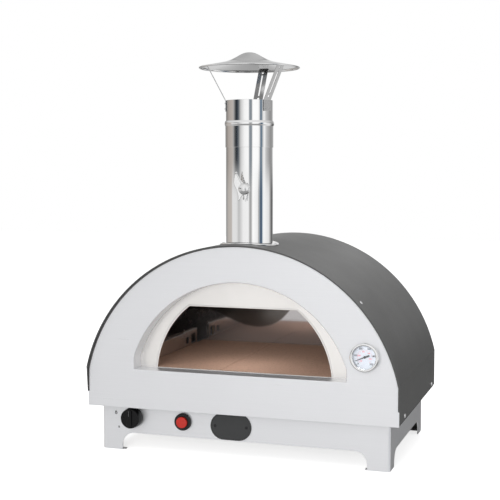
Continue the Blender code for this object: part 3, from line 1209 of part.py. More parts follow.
def build_flue_pipes(root):
    """Lower pipe with the shaft holes, upper pipe slipped over it with a bead, and the cap collar in that."""
    bottom = SHELL_TOP - FLANGE_DEPTH / 2
    inner = FLUE_INNER_RADIUS
    top = PIPE_JOINT_Z + PIPE_SOCKET_LENGTH
    lower = revolve("flue_pipe_lower", [(inner, bottom), (FLUE_RADIUS, bottom), (FLUE_RADIUS, top), (inner, top)])
    pipe = add_object("flue_pipe_lower", moved(lower, (0, FLUE_Y, 0)), root, polished)
    reach = FLUE_RADIUS + OVERRUN
    hole = along_y("shaft_hole", SHAFT_RADIUS + GAP, (-reach, reach), steps=SCREW_ROUND_STEPS)
    hole.transform(damper_matrix())
    cut(pipe, moved(hole, (0, FLUE_Y, DAMPER_Z)))
    cut(pipe, saddle_wall(-2 * FLANGE_DEPTH, FLANGE_RISE + GAP))
    shade_round(pipe)
    outer = UPPER_PIPE_RADIUS
    socket = FLUE_RADIUS + GAP
    bead = outer + BEAD_RISE
    upper = revolve("flue_pipe_upper", [
        (socket, PIPE_JOINT_Z), (outer, PIPE_JOINT_Z), (outer, BEAD_Z), (bead, BEAD_Z + BEAD_HEIGHT / 4),
        (bead, BEAD_TOP - BEAD_HEIGHT / 4), (outer, BEAD_TOP), (socket, BEAD_TOP),
    ])
    shade_round(add_object("flue_pipe_upper", moved(upper, (0, FLUE_Y, 0)), root, polished))
    hem = inner - COLLAR_HEM
    hem_bottom = COLLAR_TOP - COLLAR_HEM_HEIGHT
    foot = top + GAP
    collar = revolve("cap_collar", [
        (inner, foot), (FLUE_RADIUS, foot), (FLUE_RADIUS, COLLAR_TOP), (hem, COLLAR_TOP), (hem, hem_bottom),
        (inner, hem_bottom),
    ])
    shade_round(add_object("cap_collar", moved(collar, (0, FLUE_Y, 0)), root, polished))


def handle_outline():
    """Wing with one long arm and two short tines."""
    return [(u * HANDLE_HUB_RADIUS, w * HANDLE_HUB_RADIUS) for u, w in HANDLE_OUTLINE_SHARES]


def build_damper(root):
    """Round flap welded to its shaft, and the cast handle on the shaft's front end."""
    axis = add_empty("damper_axis", (0, FLUE_Y, DAMPER_Z), root)
    axis.rotation_euler = (0, 0, DAMPER_TURN)
    disc = cylinder("damper_flap", FLUE_INNER_RADIUS - FLAP_CLEARANCE, (-FLAP_THICKNESS / 2, FLAP_THICKNESS / 2), ROUND_STEPS)
    disc.transform(Matrix.Rotation(pi / 2, 4, "Y"))
    flap = add_object("damper_flap", disc, axis, steel)
    rear = -FLUE_RADIUS - HANDLE_REACH
    front = rear - SHAFT_SOCKET_DEPTH
    join(flap, along_y("shaft", SHAFT_RADIUS, (front, FLUE_RADIUS + SHAFT_BACK_REACH), steps=SCREW_ROUND_STEPS))
    shade_round(flap)
    face = rear - HANDLE_THICKNESS
    plate = prism_bmesh(handle_outline(), (face, rear), "y")
    face_edges = [e for e in plate.edges if all(abs(v.co.y - face) < MERGE_DISTANCE for v in e.verts)]
    bmesh.ops.bevel(plate, geom=face_edges, offset=HANDLE_THICKNESS / 8, segments=1, affect="EDGES")
    handle = add_object("damper_handle", mesh_from(plate, "damper_handle"), axis, polished)
    hub_front = rear - HANDLE_THICKNESS - HANDLE_HUB_RISE
    hub = [(0, hub_front)]
    for index in range(1, 5):
        angle = pi / 2 * index / 5
        hub.append((HANDLE_HUB_RADIUS * sin(angle), face - HANDLE_HUB_RISE * cos(angle)))
    hub += [(HANDLE_HUB_RADIUS, face), (HANDLE_HUB_RADIUS, rear - GAP), (0, rear - GAP)]
    join(handle, turn_to_y(revolve("hub", hub, SMALL_ROUND_STEPS)))
    arm_end = Vector((handle_outline()[0][0] + HANDLE_BALL_RADIUS / 2, face + HANDLE_RIB_RADIUS / 3,
                      handle_outline()[0][1]))
    ball = bmesh.new()
    bmesh.ops.create_uvsphere(ball, u_segments=12, v_segments=8, radius=HANDLE_BALL_RADIUS)
    bmesh.ops.translate(ball, verts=ball.verts, vec=arm_end)
    join(handle, mesh_from(ball, "ball"))
    rib = cylinder("rib", HANDLE_RIB_RADIUS, (0, arm_end.xz.length), SCREW_ROUND_STEPS)
    rib.transform(Matrix.Rotation(atan2(arm_end.x, arm_end.z), 4, "Y"))
    join(handle, moved(rib, (0, arm_end.y, 0)))
    socket = along_y("socket", SHAFT_RADIUS + GAP, (front - GAP, rear + OVERRUN), steps=SCREW_ROUND_STEPS)
    cut(handle, socket)
    shade_round(handle)


def cap_profile(offset):
    """Upper face of the rain cap from rim to crown, lowered by an offset."""
    return [(u * CAP_RADIUS, CAP_RIM_Z + w * CAP_HEIGHT - offset) for u, w in CAP_PROFILE_SHARES]


def build_rain_cap(root):
    """Spun cap: flat brim with a rolled rim and a domed crown."""
    upper = cap_profile(0)[1:]
    under = cap_profile(CAP_SHEET)[1:]
    roll = CAP_ROLL_RADIUS
    rim = [(CAP_RADIUS - roll + roll * cos(a), CAP_RIM_Z - roll + roll * sin(a))
           for a in [pi * (1 / 2 - i / 4) for i in range(7)]]
    rim.append((CAP_RADIUS - 2 * roll, brim_under(CAP_RADIUS - 2 * roll)))
    cap = revolve("rain_cap", [*reversed(upper), *rim, *under])
    shade_round(add_object("rain_cap", moved(cap, (0, FLUE_Y, 0)), root, polished), radians(40.0))


def brim_under(radius):
    """Height of the brim's underside."""
    (rim, rim_z), (brim, brim_z) = cap_profile(CAP_SHEET)[:2]
    return rim_z + (brim_z - rim_z) * (rim - radius) / (rim - brim)


def offset_polyline(points, thickness):
    """Close a bent strip: the given line and the same line one thickness to its right."""
    lower = []
    for index, point in enumerate(points):
        here = Vector(point)
        before = (here - Vector(points[index - 1])).normalized() if index else None
        after = (Vector(points[index + 1]) - here).normalized() if index + 1 < len(points) else None
        directions = [d for d in (before, after) if d is not None]
        normals = [Vector((d.y, -d.x)) for d in directions]
        normal = sum(normals, Vector((0, 0))).normalized()
        lower.append(here + normal * thickness / normal.dot(normals[0]))
    return [tuple(p) for p in points] + [tuple(p) for p in reversed(lower)]


def build_straps(root):
    """Three slotted straps that carry the cap on its collar."""
    inner = FLUE_RADIUS + GAP
    tab_end = STRAP_TOP_RADIUS + STRAP_TAB
    seat = 2 * GAP
    points = [
        (inner, COLLAR_TOP - STRAP_FOOT), (inner, COLLAR_TOP), (STRAP_TOP_RADIUS, brim_under(STRAP_TOP_RADIUS) - seat),
        (tab_end, brim_under(tab_end) - seat),
    ]
    section = offset_polyline(points, STRAP_THICKNESS)
    lean = atan2(points[2][1] - points[1][1], points[2][0] - points[1][0])
    run = hypot(points[2][0] - points[1][0], points[2][1] - points[1][1])
    for name, angle in STRAP_ANGLES.items():
        mesh = prism(name, section, (-STRAP_WIDTH / 2, STRAP_WIDTH / 2))
        strap = add_object(name, mesh, root, polished)
        slot = prism("slot", stadium(run - 2 * STRAP_SLOT_END, STRAP_SLOT_WIDTH, run / 2, 0, 6),
                     (-OVERRUN, OVERRUN), "y")
        slot.transform(Matrix.Rotation(pi / 2, 4, "X"))
        slot.transform(Matrix.Rotation(-lean, 4, "Y"))
        cut(strap, moved(slot, (points[1][0], 0, points[1][1])))
        strap.data.transform(Matrix.Rotation(angle, 4, "Z"))
        strap.location = (0, FLUE_Y, 0)


def build_oven():
    """Build every piece under one origin at the middle of the footprint."""
    clear_scene()
    root = add_empty("oven_origin", (0, -MIDDLE_Y, 0))
    build_base_frame(root)
    build_floor_pan(root)
    build_front_panel(root)
    build_vault_shell(root)
    build_mouth_plate(root)
    build_inner_vault(root)
    build_inner_rear_wall(root)
    build_insulation(root)
    build_deck_plate(root)
    build_stones(root)
    build_rear_panel(root)
    build_burner(root)
    build_burner_guard(root)
    build_pilot_bracket(root)
    build_sensors(root)
    build_gas_line(root)
    build_knob(root)
    build_igniter(root)
    build_badge(root)
    build_side_screws(root)
    build_flange_screws(root)
    build_thermometer(root)
    build_flue_collar(root)
    build_flue_pipes(root)
    build_damper(root)
    build_rain_cap(root)
    build_straps(root)


build_oven()
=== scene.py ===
"""Looks for the arched oven: fine pieces round the packed frame, procedural finishes, stage, lights and camera."""

from math import acos, asin, cos, hypot, pi, radians, sin, sqrt, tan

import bmesh
import bpy
from bpy.props import FloatProperty, FloatVectorProperty, IntProperty, PointerProperty
from mathutils import Matrix, Vector
from mathutils.geometry import tessellate_polygon


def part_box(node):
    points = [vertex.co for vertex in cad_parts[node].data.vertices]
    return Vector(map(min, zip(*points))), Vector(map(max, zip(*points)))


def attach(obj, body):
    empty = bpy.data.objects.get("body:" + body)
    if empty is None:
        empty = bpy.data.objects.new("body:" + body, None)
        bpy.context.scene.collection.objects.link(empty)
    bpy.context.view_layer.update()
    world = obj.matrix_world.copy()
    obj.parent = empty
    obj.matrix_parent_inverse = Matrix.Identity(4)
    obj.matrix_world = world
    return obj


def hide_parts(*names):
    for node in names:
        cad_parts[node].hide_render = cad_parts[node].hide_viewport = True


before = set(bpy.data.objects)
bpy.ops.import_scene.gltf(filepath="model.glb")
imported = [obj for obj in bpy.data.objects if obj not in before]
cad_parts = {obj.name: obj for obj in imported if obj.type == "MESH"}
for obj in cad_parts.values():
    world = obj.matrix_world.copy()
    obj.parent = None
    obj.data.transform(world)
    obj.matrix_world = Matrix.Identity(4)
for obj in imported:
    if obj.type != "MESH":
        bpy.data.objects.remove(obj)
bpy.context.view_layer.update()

bl_info = {
    "name": "Arched oven",
    "version": (1, 0, 0),
    "blender": (4, 5, 0),
    "location": "3D View > Sidebar > Oven",
    "description": "Builds an arched table-top oven with its finishes and a plain studio",
    "category": "Object",
}

# Places that the frame gives; a y less FRONT_Y is counted from the front face of the panel
(PANEL_LOW, PANEL_HIGH), (SHELL_LOW, SHELL_HIGH), (BASE_LOW, BASE_HIGH), (MOUTH_LOW, MOUTH_HIGH) = map(
    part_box, ("front_panel", "vault_shell", "base_frame", "mouth_plate"))
(WALL_LOW, WALL_HIGH), (GUARD_LOW, GUARD_HIGH), (BRACKET_LOW, BRACKET_HIGH) = map(
    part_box, ("inner_rear_wall", "burner_guard", "pilot_bracket"))
(BURNER_LOW, BURNER_HIGH), (FLANGE_LOW, FLANGE_HIGH), (PIPE_LOW, PIPE_HIGH), (UPPER_LOW, UPPER_HIGH) = map(
    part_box, ("burner_tube", "flue_collar", "flue_pipe_lower", "flue_pipe_upper"))
(COLLAR_LOW, COLLAR_HIGH), (CAP_LOW, CAP_HIGH), (BADGE_LOW, BADGE_HIGH), (CASE_LOW, CASE_HIGH) = map(
    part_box, ("cap_collar", "rain_cap", "badge_plate", "thermometer_case"))
FRONT_Y = PANEL_LOW.y
FLUE_Y = (PIPE_LOW.y + PIPE_HIGH.y) / 2 - FRONT_Y
STONE_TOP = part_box("stone_right")[1].z
GAP = 0.0003
SAME_PLACE = 0.0000001
MERGE_DISTANCE = 0.000001
LEAST_BEND, MOST_BEND = radians(1.0), radians(88.0)
SOFT_EDGE = 0.0003
PANEL_THICKNESS = 0.002
MOUTH_FACE_Y = 0.0391
LINING_FRONT_Y = 0.0409


# Sizes and colours that a user would change

def length(name, description, default):
    return FloatProperty(name=name, description=description, default=default, min=0.0, precision=4, unit="LENGTH")


def angle(name, description, degrees):
    return FloatProperty(name=name, description=description, default=radians(degrees), unit="ROTATION")


def share(name, description, default):
    return FloatProperty(name=name, description=description, default=default, min=0.0, max=1.0, subtype="FACTOR")


def colour(name, description, default):
    return FloatVectorProperty(name=name, description=description, default=default, min=0.0, max=1.0, size=3,
                               subtype="COLOR")


def power(name, description, default):
    return FloatProperty(name=name, description=description, default=default, min=0.0, unit="POWER")


class OvenBodySizes(bpy.types.PropertyGroup):
    """Sizes of the shell, panel, mouth and base."""
    sheet: length("Sheet", "Thickness of the body sheet", 0.0015)
    panel_half: length("Panel half width", "Half the width of the front panel above its ears", 0.3488)
    ear_height: length("Ear height", "Height of the panel's ears", 0.032)
    panel_kink: length("Panel kink", "Height above the floor where the panel's arch starts", 0.1824)
    shell_kink: length("Shell kink", "Height above the floor where the shell's arch starts", 0.1903)
    arch_centre: length("Arch centre", "Height of the common centre of the shell's and the panel's arch", 0.1084)
    lip: length("Front lip", "How far the shell stands out in front of the panel", 0.008)
    lip_foot: length("Lip at the ears", "How far the lip stands out just above the ears", 0.003)
    flange: length("Shell flange", "Width of the flange that carries the panel", 0.022)
    cutout_bottom: length("Sill height", "Height of the panel's opening above the floor", 0.1893)
    cutout_centre: length("Opening arch centre", "Height of the centre of the opening's arch", 0.1351)
    cutout_radius: length("Opening radius", "Radius of the opening's arch", 0.2532)
    cutout_side: length("Opening side", "Straight height at each side of the opening", 0.0268)
    fold: length("Fold radius", "Outer radius of the folded edge of the opening", 0.0017)
    mouth_radius: length("Mouth radius", "Radius of the mouth's round sides", 0.1998)
    mouth_centre: length("Mouth centre", "Height of the centre of the mouth's round sides", 0.1716)
    mouth_top: length("Mouth top", "Height of the level top of the mouth", 0.3296)
    hem: length("Mouth hem", "Width of the hem round the mouth", 0.0035)
    leg_width: length("Leg width", "Width of a leg from the front", 0.049)
    leg_side: length("Leg depth", "Width of a leg from the side", 0.046)
    leg_height: length("Front arch height", "Height of the arch between the front legs", 0.0395)
    side_arch: length("Side arch height", "Height of the arch between a front and a rear leg", 0.035)
    leg_round: length("Leg rounding", "Radius of the arch's corners", 0.028)
    base_round: length("Base corner", "Radius of the skirt's upright folds", 0.006)
    base_sheet: length("Skirt sheet", "Thickness of the skirt", 0.002)
    edge: length("Edge rounding", "Rounding of cut sheet edges", 0.0004)
    arc_steps: IntProperty(name="Arc steps", description="Facets of each arch", default=128, min=24, max=400)


class OvenFlueSizes(bpy.types.PropertyGroup):
    """Sizes of the flue, damper and rain cap."""
    wall: length("Pipe wall", "Thickness of the flue pipes", 0.001)
    sleeve: length("Sleeve radius", "Radius of the stub that the lower pipe slips over", 0.0452)
    flange_rise: length("Flange rise", "Height of the saddle flange's upper face over the shell", 0.0025)
    bead_low: length("Bead foot", "Height of the lower edge of the bead above the floor", 0.7226)
    bead_height: length("Bead height", "Height of the bead", 0.0117)
    bead_rise: length("Bead rise", "How far the bead stands proud", 0.0016)
    damper_z: length("Damper height", "Height of the damper's shaft above the floor", 0.588)
    damper_turn: angle("Damper turn", "Turn of the damper's shaft about the pipe", 9.0)
    shaft_hole: length("Shaft hole", "Radius of the holes for the damper's shaft", 0.0043)
    handle_radius: length("Handle hub", "Radius of the handle's hub", 0.0125)
    handle_reach: length("Handle reach", "Distance of the handle from the pipe", 0.0162)
    handle_thickness: length("Handle thickness", "Thickness of the handle's wing", 0.004)
    dome: length("Hub dome", "Height of the dome on the hub", 0.007)
    ball: length("Ball radius", "Radius of the ball on the handle's arm", 0.0026)
    cap_roll: length("Cap roll", "Radius of the cap's rolled rim", 0.0017)
    cap_sheet: length("Cap sheet", "Thickness of the cap", 0.001)
    hood_screw_depth: length("Hood screw depth", "Distance of the shell's upper screws from the front", 0.0203)
    hood_screw_angle: angle("Hood screw angle", "Lean of the shell's upper screws from the top", 47.2)
    strap_width: length("Strap width", "Width of a cap strap", 0.022)
    strap_sheet: length("Strap sheet", "Thickness of a cap strap", 0.0012)
    strap_foot: length("Strap foot", "Height of the strap's tab on the collar", 0.024)
    round_steps: IntProperty(name="Round steps", description="Facets of each pipe", default=128, min=24, max=400)


class OvenControlSizes(bpy.types.PropertyGroup):
    """Sizes of the knob, igniter, badge plate and thermometer."""
    knob_radius: length("Knob radius", "Radius of the knob's skirt", 0.023)
    knob_skirt: length("Knob skirt", "Depth of the knob's skirt", 0.008)
    knob_body: length("Knob body", "Radius of the knob's body", 0.0225)
    grip_width: length("Grip width", "Width of the knob's grip bar", 0.013)
    grip_length: length("Grip length", "Length of the knob's grip bar", 0.043)
    button_radius: length("Button radius", "Radius of the igniter's button", 0.0125)
    bezel_radius: length("Bezel radius", "Radius of the igniter's bezel", 0.019)
    badge_rim: length("Badge rim", "Width of the raised rim of the badge plate", 0.0022)
    badge_recess: length("Badge recess", "Depth of the field inside the rim", 0.0007)
    dial_radius: length("Dial radius", "Radius of the thermometer's dial", 0.0257)
    dial_top: FloatProperty(name="Dial top", description="Highest number on the dial", default=500.0)
    needle_angle: angle("Needle angle", "Rest angle of the needle, counted from the right", 202.7)


class OvenFinishes(bpy.types.PropertyGroup):
    """Colours and gloss of the finishes."""
    steel: colour("Brushed steel", "Colour of the panel and base", (0.855, 0.86, 0.88))
    polished: colour("Polished steel", "Colour of the flue, cap and screws", (0.93, 0.93, 0.93))
    mouth: colour("Inner front wall", "Colour of the polished wall round the mouth", (0.915, 0.89, 0.865))
    chamber: colour("Chamber steel", "Colour of the steel inside the chamber", (0.36, 0.33, 0.31))
    paint: colour("Shell paint", "Colour of the powder coat", (0.098, 0.098, 0.0965))
    stone: colour("Fire brick", "Colour of the floor stones", (0.54, 0.34, 0.248))
    brass: colour("Brass", "Colour of the gas fittings", (0.66, 0.47, 0.21))
    ceramic: colour("Ceramic", "Colour of the electrode's body", (0.82, 0.80, 0.76))
    wool: colour("Fibre wool", "Colour of the insulation", (0.80, 0.78, 0.72))
    black: colour("Black plastic", "Colour of the knob and bezel", (0.005, 0.005, 0.0055))
    red: colour("Red plastic", "Colour of the igniter's button", (0.44, 0.018, 0.010))
    badge: colour("Badge plate", "Colour of the badge plate", (0.042, 0.043, 0.044))
    dial: colour("Dial", "Colour of the thermometer's dial", (0.46, 0.485, 0.53))
    dial_red: colour("Dial red", "Colour of the dial's inner scale", (0.62, 0.06, 0.07))
    ink: colour("Dial black", "Colour of the dial's outer scale and the needle", (0.02, 0.02, 0.022))
    steel_roughness: share("Steel roughness", "Roughness of the brushed steel", 0.34)
    polish_roughness: share("Polish roughness", "Roughness of the polished steel", 0.028)
    paint_roughness: share("Paint roughness", "Roughness of the powder coat", 0.39)


class OvenStudio(bpy.types.PropertyGroup):
    """Camera, lights and floor."""
    camera_place: FloatVectorProperty(name="Camera place", description="Where the camera stands",
                                      default=(0.7576, -2.43375, 0.6374), subtype="TRANSLATION", unit="LENGTH")
    camera_yaw: angle("Camera yaw", "Turn of the camera about the upright axis", 18.19)
    camera_pitch: angle("Camera pitch", "Tilt of the camera below the horizon", 4.361)
    camera_lens: FloatProperty(name="Lens", description="Focal length on a 36 mm sensor", default=79.627,
                               unit="CAMERA")
    key_power: power("Key light", "Power of the large front light", 24.0)
    top_power: power("Top light", "Power of the light overhead", 20.0)
    front_power: power("Front light", "Power of the low light that shines into the mouth", 40.0)
    fill_power: power("Chamber light", "Power of the soft light inside the chamber", 0.17)
    surround: share("Surround", "Brightness of the room round the oven", 0.45)
    panels: FloatProperty(name="Room panels", description="Brightness of the room in polished metal", default=1.08)
    floor_size: length("Floor size", "Side of the floor", 14.0)


# Outlines in the front view, as (x, z) pairs

def arc(radius, centre, start, end, steps):
    return [(radius * cos(start + (end - start) * i / steps), centre + radius * sin(start + (end - start) * i / steps))
            for i in range(steps + 1)]


def arch_outline(half_width, bottom, radius, centre, steps):
    """A round arch on straight legs, from the lower right round to the lower left."""
    start = acos(half_width / radius)
    return [(half_width, bottom), *arc(radius, centre, start, pi - start, steps), (-half_width, bottom)]


def shell_radius(body):
    return hypot(SHELL_HIGH.x, body.shell_kink - body.arch_centre)


def on_shell(body, x, rise):
    """Height of the shell's round at a place x, raised square to it."""
    return body.arch_centre + sqrt((shell_radius(body) + rise) ** 2 - x ** 2)


def opening_outline(body, offset):
    rise = body.cutout_bottom + body.cutout_side - body.cutout_centre
    half = sqrt(body.cutout_radius ** 2 - rise ** 2)
    return arch_outline(half + offset, body.cutout_bottom - offset, body.cutout_radius + offset, body.cutout_centre,
                        body.arc_steps)


def mouth_outline(body, offset):
    radius = body.mouth_radius + offset
    bottom = max(STONE_TOP - offset, body.cutout_bottom + GAP)
    start = asin((bottom - body.mouth_centre) / radius)
    end = asin((body.mouth_top + offset - body.mouth_centre) / radius)
    right = arc(radius, body.mouth_centre, start, end, body.arc_steps // 3)
    return [*right, *[(-x, z) for x, z in reversed(right)]]


def stadium(width, height, x, z, steps=24):
    """A plate outline with fully round ends."""
    radius = height / 2
    half = width / 2 - radius
    turns = [pi * i / steps - pi / 2 for i in range(steps + 1)]
    right = [(x + half + radius * cos(a), z + radius * sin(a)) for a in turns]
    return right + [(x - half - radius * cos(a), z - radius * sin(a)) for a in turns]


def rectangle(xs, zs):
    return [(xs[0], zs[0]), (xs[1], zs[0]), (xs[1], zs[1]), (xs[0], zs[1])]


def quarter(steps):
    """Sine and cosine at each step of a quarter turn."""
    return [(sin(pi / 2 * i / steps), cos(pi / 2 * i / steps)) for i in range(steps + 1)]


def quarter_round(start, end, steps, second_first=False):
    """Pairs from start to end on a quarter round that sets out along the first number, or along the second."""
    shares = [(1 - c, s) if second_first else (s, 1 - c) for s, c in quarter(steps)]
    return [(start[0] + (end[0] - start[0]) * u, start[1] + (end[1] - start[1]) * w) for u, w in shares]


def middle(name):
    """Middle of a node of the frame, with y counted from the panel's front."""
    low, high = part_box(name)
    return (low.x + high.x) / 2, (low.y + high.y) / 2 - FRONT_Y, (low.z + high.z) / 2


def depths(name):
    """Front and rear of a node of the frame, counted from the panel's front."""
    return [corner.y - FRONT_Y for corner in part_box(name)]


def circle(radius, x, z, steps=24):
    return [(x + radius * cos(2 * pi * i / steps), z + radius * sin(2 * pi * i / steps)) for i in range(steps)]


def inset(points, depth):
    """Move a closed counter-clockwise outline inwards by a depth, or outwards by a negative one."""
    corners = [Vector(p) for p in points]
    moved = []
    for before, here, after in zip(corners[-1:] + corners[:-1], corners, corners[1:] + corners[:1]):
        first, second = (here - before).normalized(), (after - here).normalized()
        left, right = Vector((-first.y, first.x)), Vector((-second.y, second.x))
        moved.append(tuple(here + (left + right) * depth / max(1 + left.dot(right), 0.2)))
    return moved


def fillet(points, radius, steps=5, closed=True):
    """Round the corners of a line of 2D or 3D points by one radius, or one for each; a radius of 0 keeps a corner."""
    corners = [Vector(p) for p in points]
    count = len(corners)
    sizes = radius if isinstance(radius, list) else [radius] * count
    rounded = []
    for index, (here, size) in enumerate(zip(corners, sizes)):
        back, ahead = corners[index - 1] - here, corners[(index + 1) % count] - here
        inside = closed or 0 < index < count - 1
        bent = size > 0 and inside and min(back.length, ahead.length) > SAME_PLACE
        half = back.angle(ahead) / 2 if bent else 0.0
        if not LEAST_BEND <= half <= MOST_BEND:
            rounded.append(tuple(here))
            continue
        back_way, ahead_way = back.normalized(), ahead.normalized()
        reach = min(size / tan(half), back.length * 0.49, ahead.length * 0.49)
        centre = here + (back_way + ahead_way).normalized() * (reach * tan(half)) / sin(half)
        start, end = here + back_way * reach - centre, here + ahead_way * reach - centre
        sweep = start.angle(end)
        for t in [step / steps for step in range(steps + 1)]:
            along = start * sin((1 - t) * sweep) / sin(sweep) + end * sin(t * sweep) / sin(sweep)
            rounded.append(tuple(centre + along))
    return rounded


def smooth_line(points, steps, closed=False):
    """Run a smooth curve through a line of points."""
    line = [Vector(p) for p in points]
    line = line[-1:] + line + line[:2] if closed else line[:1] + line + line[-1:]
    result = []
    for a, b, c, d in zip(line, line[1:], line[2:], line[3:]):
        for t in [step / steps for step in range(steps)]:
            result.append(tuple((2 * b + (c - a) * t + (2 * a - 5 * b + 4 * c - d) * t ** 2
                                 + (3 * b - a - 3 * c + d) * t ** 3) / 2))
    return result if closed else result + [tuple(line[-1])]


def right_normals(line):
    """Directions square to a line of 2D points, to its right, one at each of its points."""
    ways = [(after - before).normalized() for before, after in zip(line, line[1:])]
    ways = [(before + after).normalized() for before, after in zip(ways[:1] + ways, ways + ways[-1:])]
    return [Vector((way.y, -way.x)) for way in ways]


def strip_outline(points, thickness):
    """Close a bent strip: the given line and the same line one thickness to its right."""
    line = [Vector(p) for p in points]
    other = []
    for index, (here, normal) in enumerate(zip(line, right_normals(line))):
        side = right_normals(line[max(index - 1, 0):][:2])[0]
        other.append(tuple(here + normal * thickness / normal.dot(side)))
    return [tuple(p) for p in points] + other[::-1]


# Meshes

def closed_mesh(bm, name):
    bmesh.ops.remove_doubles(bm, verts=bm.verts, dist=MERGE_DISTANCE)
    bmesh.ops.dissolve_degenerate(bm, edges=bm.edges, dist=MERGE_DISTANCE)
    bmesh.ops.recalc_face_normals(bm, faces=bm.faces)
    mesh = bpy.data.meshes.new(name)
    bm.to_mesh(mesh)
    bm.free()
    return mesh


def skin(bm, rings, closed=True):
    """Join each ring of corners to the next with quads, round the whole ring or from end to end."""
    for low, high in zip(rings, rings[1:]):
        for i in range(len(low) if closed else len(low) - 1):
            j = (i + 1) % len(low)
            bm.faces.new((low[i], low[j], high[j], high[i]))


def plate(name, *loops):
    """A flat piece between loops of (outline, y) rings; the first loop is the outer one, the others are holes."""
    bm = bmesh.new()
    first, last = [], []
    for rings in loops:
        made = [[bm.verts.new((x, y, z)) for x, z in points] for points, y in rings]
        skin(bm, made)
        first.append(made[0])
        last.append(made[-1])
    for cap in (first, last):
        verts = [v for ring in cap for v in ring]
        for corners in tessellate_polygon([[v.co.xzy for v in ring] for ring in cap]):
            bm.faces.new([verts[i] for i in corners])
    return closed_mesh(bm, name)


def inset_rings(outline, section):
    """Rings of an outline, inset by each depth of a section of (depth, y) pairs."""
    return [(inset(outline, depth), y) for depth, y in section]


def edge_rings(points, front, rear, edge, sign=1, steps=3):
    """Rings of an outline from front to rear with rounded edges; sign is -1 for a hole."""
    rings = inset_rings(points, quarter_round((sign * edge, front), (0, front + edge), steps))
    return rings + [(points_in, rear - (y - front)) for points_in, y in reversed(rings)]


def soft_plate(name, outline, front, rear, edge, holes=()):
    """A flat plate with rounded edges and holes."""
    loops = [edge_rings(outline, front, rear, edge)]
    loops += [edge_rings(hole, front, rear, edge, -1) for hole in holes]
    return plate(name, *loops)


def lathe(name, profile, steps=96):
    """Turn a closed (radius, height) profile about z."""
    bm = bmesh.new()
    rings = []
    for radius, height in profile:
        if radius < SAME_PLACE:
            rings.append([bm.verts.new((0, 0, height))])
        else:
            rings.append([bm.verts.new((radius * cos(2 * pi * i / steps), radius * sin(2 * pi * i / steps), height))
                          for i in range(steps)])
    for low, high in zip(rings, rings[1:] + rings[:1]):
        if len(low) == 1 and len(high) == 1:
            continue
        for i in range(steps):
            j = (i + 1) % steps
            corners = [low[i % len(low)], low[j % len(low)], high[j % len(high)], high[i % len(high)]]
            unique = [v for k, v in enumerate(corners) if v not in corners[:k]]
            if len(unique) > 2:
                bm.faces.new(unique)
    return closed_mesh(bm, name)


def loft(name, rings, closed_section=True):
    """Skin rings of 3D points; the rings run along an open line and close on each other."""
    bm = bmesh.new()
    made = [[bm.verts.new(p) for p in ring] for ring in rings]
    skin(bm, made + made[:1] if closed_section else made, False)
    if closed_section:
        bm.faces.new([ring[0] for ring in made])
        bm.faces.new([ring[-1] for ring in made])
    return closed_mesh(bm, name)


def prism(name, outline, depth, axis="y"):
    """Extrude an outline: (x, z) pairs along y, (x, y) pairs along z, (y, z) pairs along x."""
    place = {"y": lambda p, d: (p[0], d, p[1]), "z": lambda p, d: (p[0], p[1], d), "x": lambda p, d: (d, p[0], p[1])}
    bm = bmesh.new()
    ends = [[bm.verts.new(place[axis](p, end)) for p in outline] for end in depth]
    skin(bm, ends)
    for end in ends:
        bm.faces.new(end)
    return closed_mesh(bm, name)


def box(name, xs, ys, zs):
    return prism(name, rectangle(xs, zs), ys)


def rod(name, path, radius, steps=16):
    """A round rod along a line of 3D points."""
    points = [Vector(p) for p in path]
    bm = bmesh.new()
    rings = []
    side = None
    for index, point in enumerate(points):
        along = (points[min(index + 1, len(points) - 1)] - points[max(index - 1, 0)]).normalized()
        if side is None:
            side = along.orthogonal().normalized()
        side = (side - along * side.dot(along)).normalized()
        up = along.cross(side)
        rings.append([bm.verts.new(point + (side * cos(a) + up * sin(a)) * radius)
                      for a in [2 * pi * k / steps for k in range(steps)]])
    skin(bm, rings)
    bm.faces.new(rings[0])
    bm.faces.new(rings[-1])
    return closed_mesh(bm, name)


def turned_to_y(mesh, x=0.0, z=0.0, y=0.0):
    """Turn a z-axis mesh so that its height runs along +y, then move it."""
    mesh.transform(Matrix.Rotation(-pi / 2, 4, "X"))
    return moved(mesh, (x, y, z))


def turned_part(name, profile, rounding, soft_steps, steps, x, z, y=0.0):
    """A turned part with rounded edges whose axis runs from front to rear."""
    return turned_to_y(lathe(name, fillet(profile, rounding, soft_steps), steps), x, z, y)


def moved(mesh, offset):
    mesh.transform(Matrix.Translation(offset))
    return mesh


def turned(mesh, amount, axis):
    mesh.transform(Matrix.Rotation(amount, 4, axis))
    return mesh


def together(name, *meshes):
    """Put several meshes into one, each as its own closed body."""
    bm = bmesh.new()
    for mesh in meshes:
        bm.from_mesh(mesh)
        bpy.data.meshes.remove(mesh)
    result = bpy.data.meshes.new(name)
    bm.to_mesh(result)
    bm.free()
    return result


def evaluated_mesh(item):
    """A new mesh of an object as its modifiers leave it."""
    bpy.context.view_layer.update()
    graph = bpy.context.evaluated_depsgraph_get()
    return bpy.data.meshes.new_from_object(item.evaluated_get(graph), depsgraph=graph)


def cut(item, *meshes):
    """Cut meshes out of an object by exact booleans."""
    for mesh in meshes:
        tool = bpy.data.objects.new("cutter", mesh)
        bpy.context.scene.collection.objects.link(tool)
        modifier = item.modifiers.new("cut", "BOOLEAN")
        modifier.operation = "DIFFERENCE"
        modifier.solver = "EXACT"
        modifier.object = tool
        result = evaluated_mesh(item)
        item.modifiers.remove(modifier)
        result.name = item.data.name
        item.data = result
        bpy.data.objects.remove(tool, do_unlink=True)


def raw_object(name, mesh):
    item = bpy.data.objects.new(name, mesh)
    bpy.context.scene.collection.objects.link(item)
    return item


